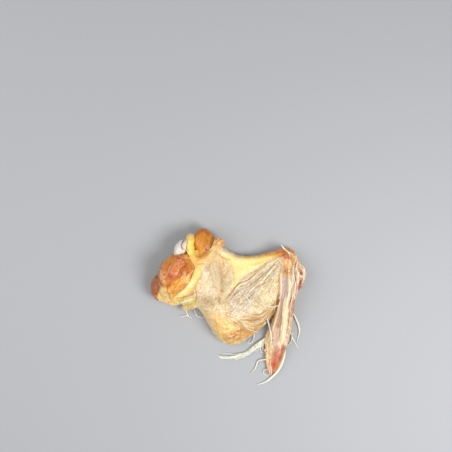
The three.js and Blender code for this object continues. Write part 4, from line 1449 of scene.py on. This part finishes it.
def makeThreads():
    random.seed(31)
    threads, tints = [], []
    for index, (line, widths) in enumerate(looseThreads):
        flat = smoothPath(line, 1.0)
        falls = np.linspace(1, 0, len(flat)) ** 3 * 3  # each leaves the flesh low and settles on the board
        path = lifted([(x, y, 0.6 + fall) for (x, y), fall in zip(flat, falls)])
        full = [width * threadsLook["looseWidth"] for width in widths]
        threads.append(strand(wavy(path, 0.3, 4.0, index), full, 6, 0.7))
        tints.append(featherHues["loose"] * random.uniform(0.94, 1.01))
    bundle("edgeFilaments", threads, tints)
    threads, tints = [], []
    for line, widths in skinThreads:
        full = [width * threadsLook["hairWidth"] for width in widths]
        threads.append(strand(drape(line, 0.1), full, 6, 0.7))
        tints.append(featherHues["hair"] * random.uniform(0.96, 1.01))
    edge = smoothPath([(50.6, 0), (50, -6), (48.8, -14), (47.4, -22), (46, -31)], 0.5)
    tufts = threadsLook["tufts"]
    for turn in range(threadsLook["pinFeathers"]):  # along the hand's outer edge
        root = edge[int((random.randrange(tufts) + random.gauss(0.5, 0.14)) / tufts * (len(edge) - 1))]
        base = np.array(drop(root + np.array([random.uniform(-1.0, 0.0), 0])))
        reach = np.array([random.uniform(0.9, 2.1), -random.uniform(0.6, 2.8), -random.uniform(0.4, 1.6)])
        path = [base, base + reach * 0.5 + (0, 0, 0.3), base + reach]
        threads.append(strand(smoothPath(path, 0.5), [0.5, 0.5, 0.15], 5))
        tints.append(featherHues["pin"] * random.uniform(0.94, 1.0))
    bundle("skinHairs", threads, tints)
    threads, tints = [], []
    for lines in (layFibres(fanTop, fanBottom, (0.0, 0.6), 14, 14, 0.36, 51),
                  layFibres(handMiddle, handRight, (0.0, 0.3), 34, 14, 0.45, 52),
                  layFibres(handMiddle, handRight, (0.25, 0.8), 14, 16, 0.35, 53),
                  layFibres(rimIn, rimOut, (0.0, 0.8), 14, 12, 0.4, 54)):
        threads.extend(lines[0])
        tints.extend(lines[1])
    bundle("skinFibres", threads, tints)


makeThreads()


# Board and light

def makeFloor():
    form = bmesh.new()
    bmesh.ops.create_grid(form, x_segments=2, y_segments=2, size=4.0)
    bmesh.ops.translate(form, vec=(0, 0, -0.1 * mm), verts=form.verts)
    board = addPiece("board", meshOf(form, "board"))
    graph = Graph("paleBoard")
    board.data.materials.append(graph.surface((0.44, 0.45, 0.47, 1), 0.6, graph.noise(4.0), 0.02))


def addLight(name, spotAt, size, watts):
    lamp = bpy.data.lights.new(name, "AREA")
    lamp.shape = "DISK"
    lamp.size = size
    lamp.energy = watts
    holder = bpy.data.objects.new(name, lamp)
    holder.location = spotAt
    holder.rotation_euler = (-Vector(spotAt)).to_track_quat("-Z", "Y").to_euler()
    scene.collection.objects.link(holder)


makeFloor()
addLight("window", (0.36, -0.14, 0.58), 0.36, 3.5)
addLight("fill", (-0.55, 0.1, 0.55), 0.8, 2.8)
world = bpy.data.worlds.new("softRoom")
world.use_nodes = True
world.node_tree.nodes["Background"].inputs["Color"].default_value = (1, 1, 1, 1)
world.node_tree.nodes["Background"].inputs["Strength"].default_value = 0.41
scene.world = world
print("board and light set")
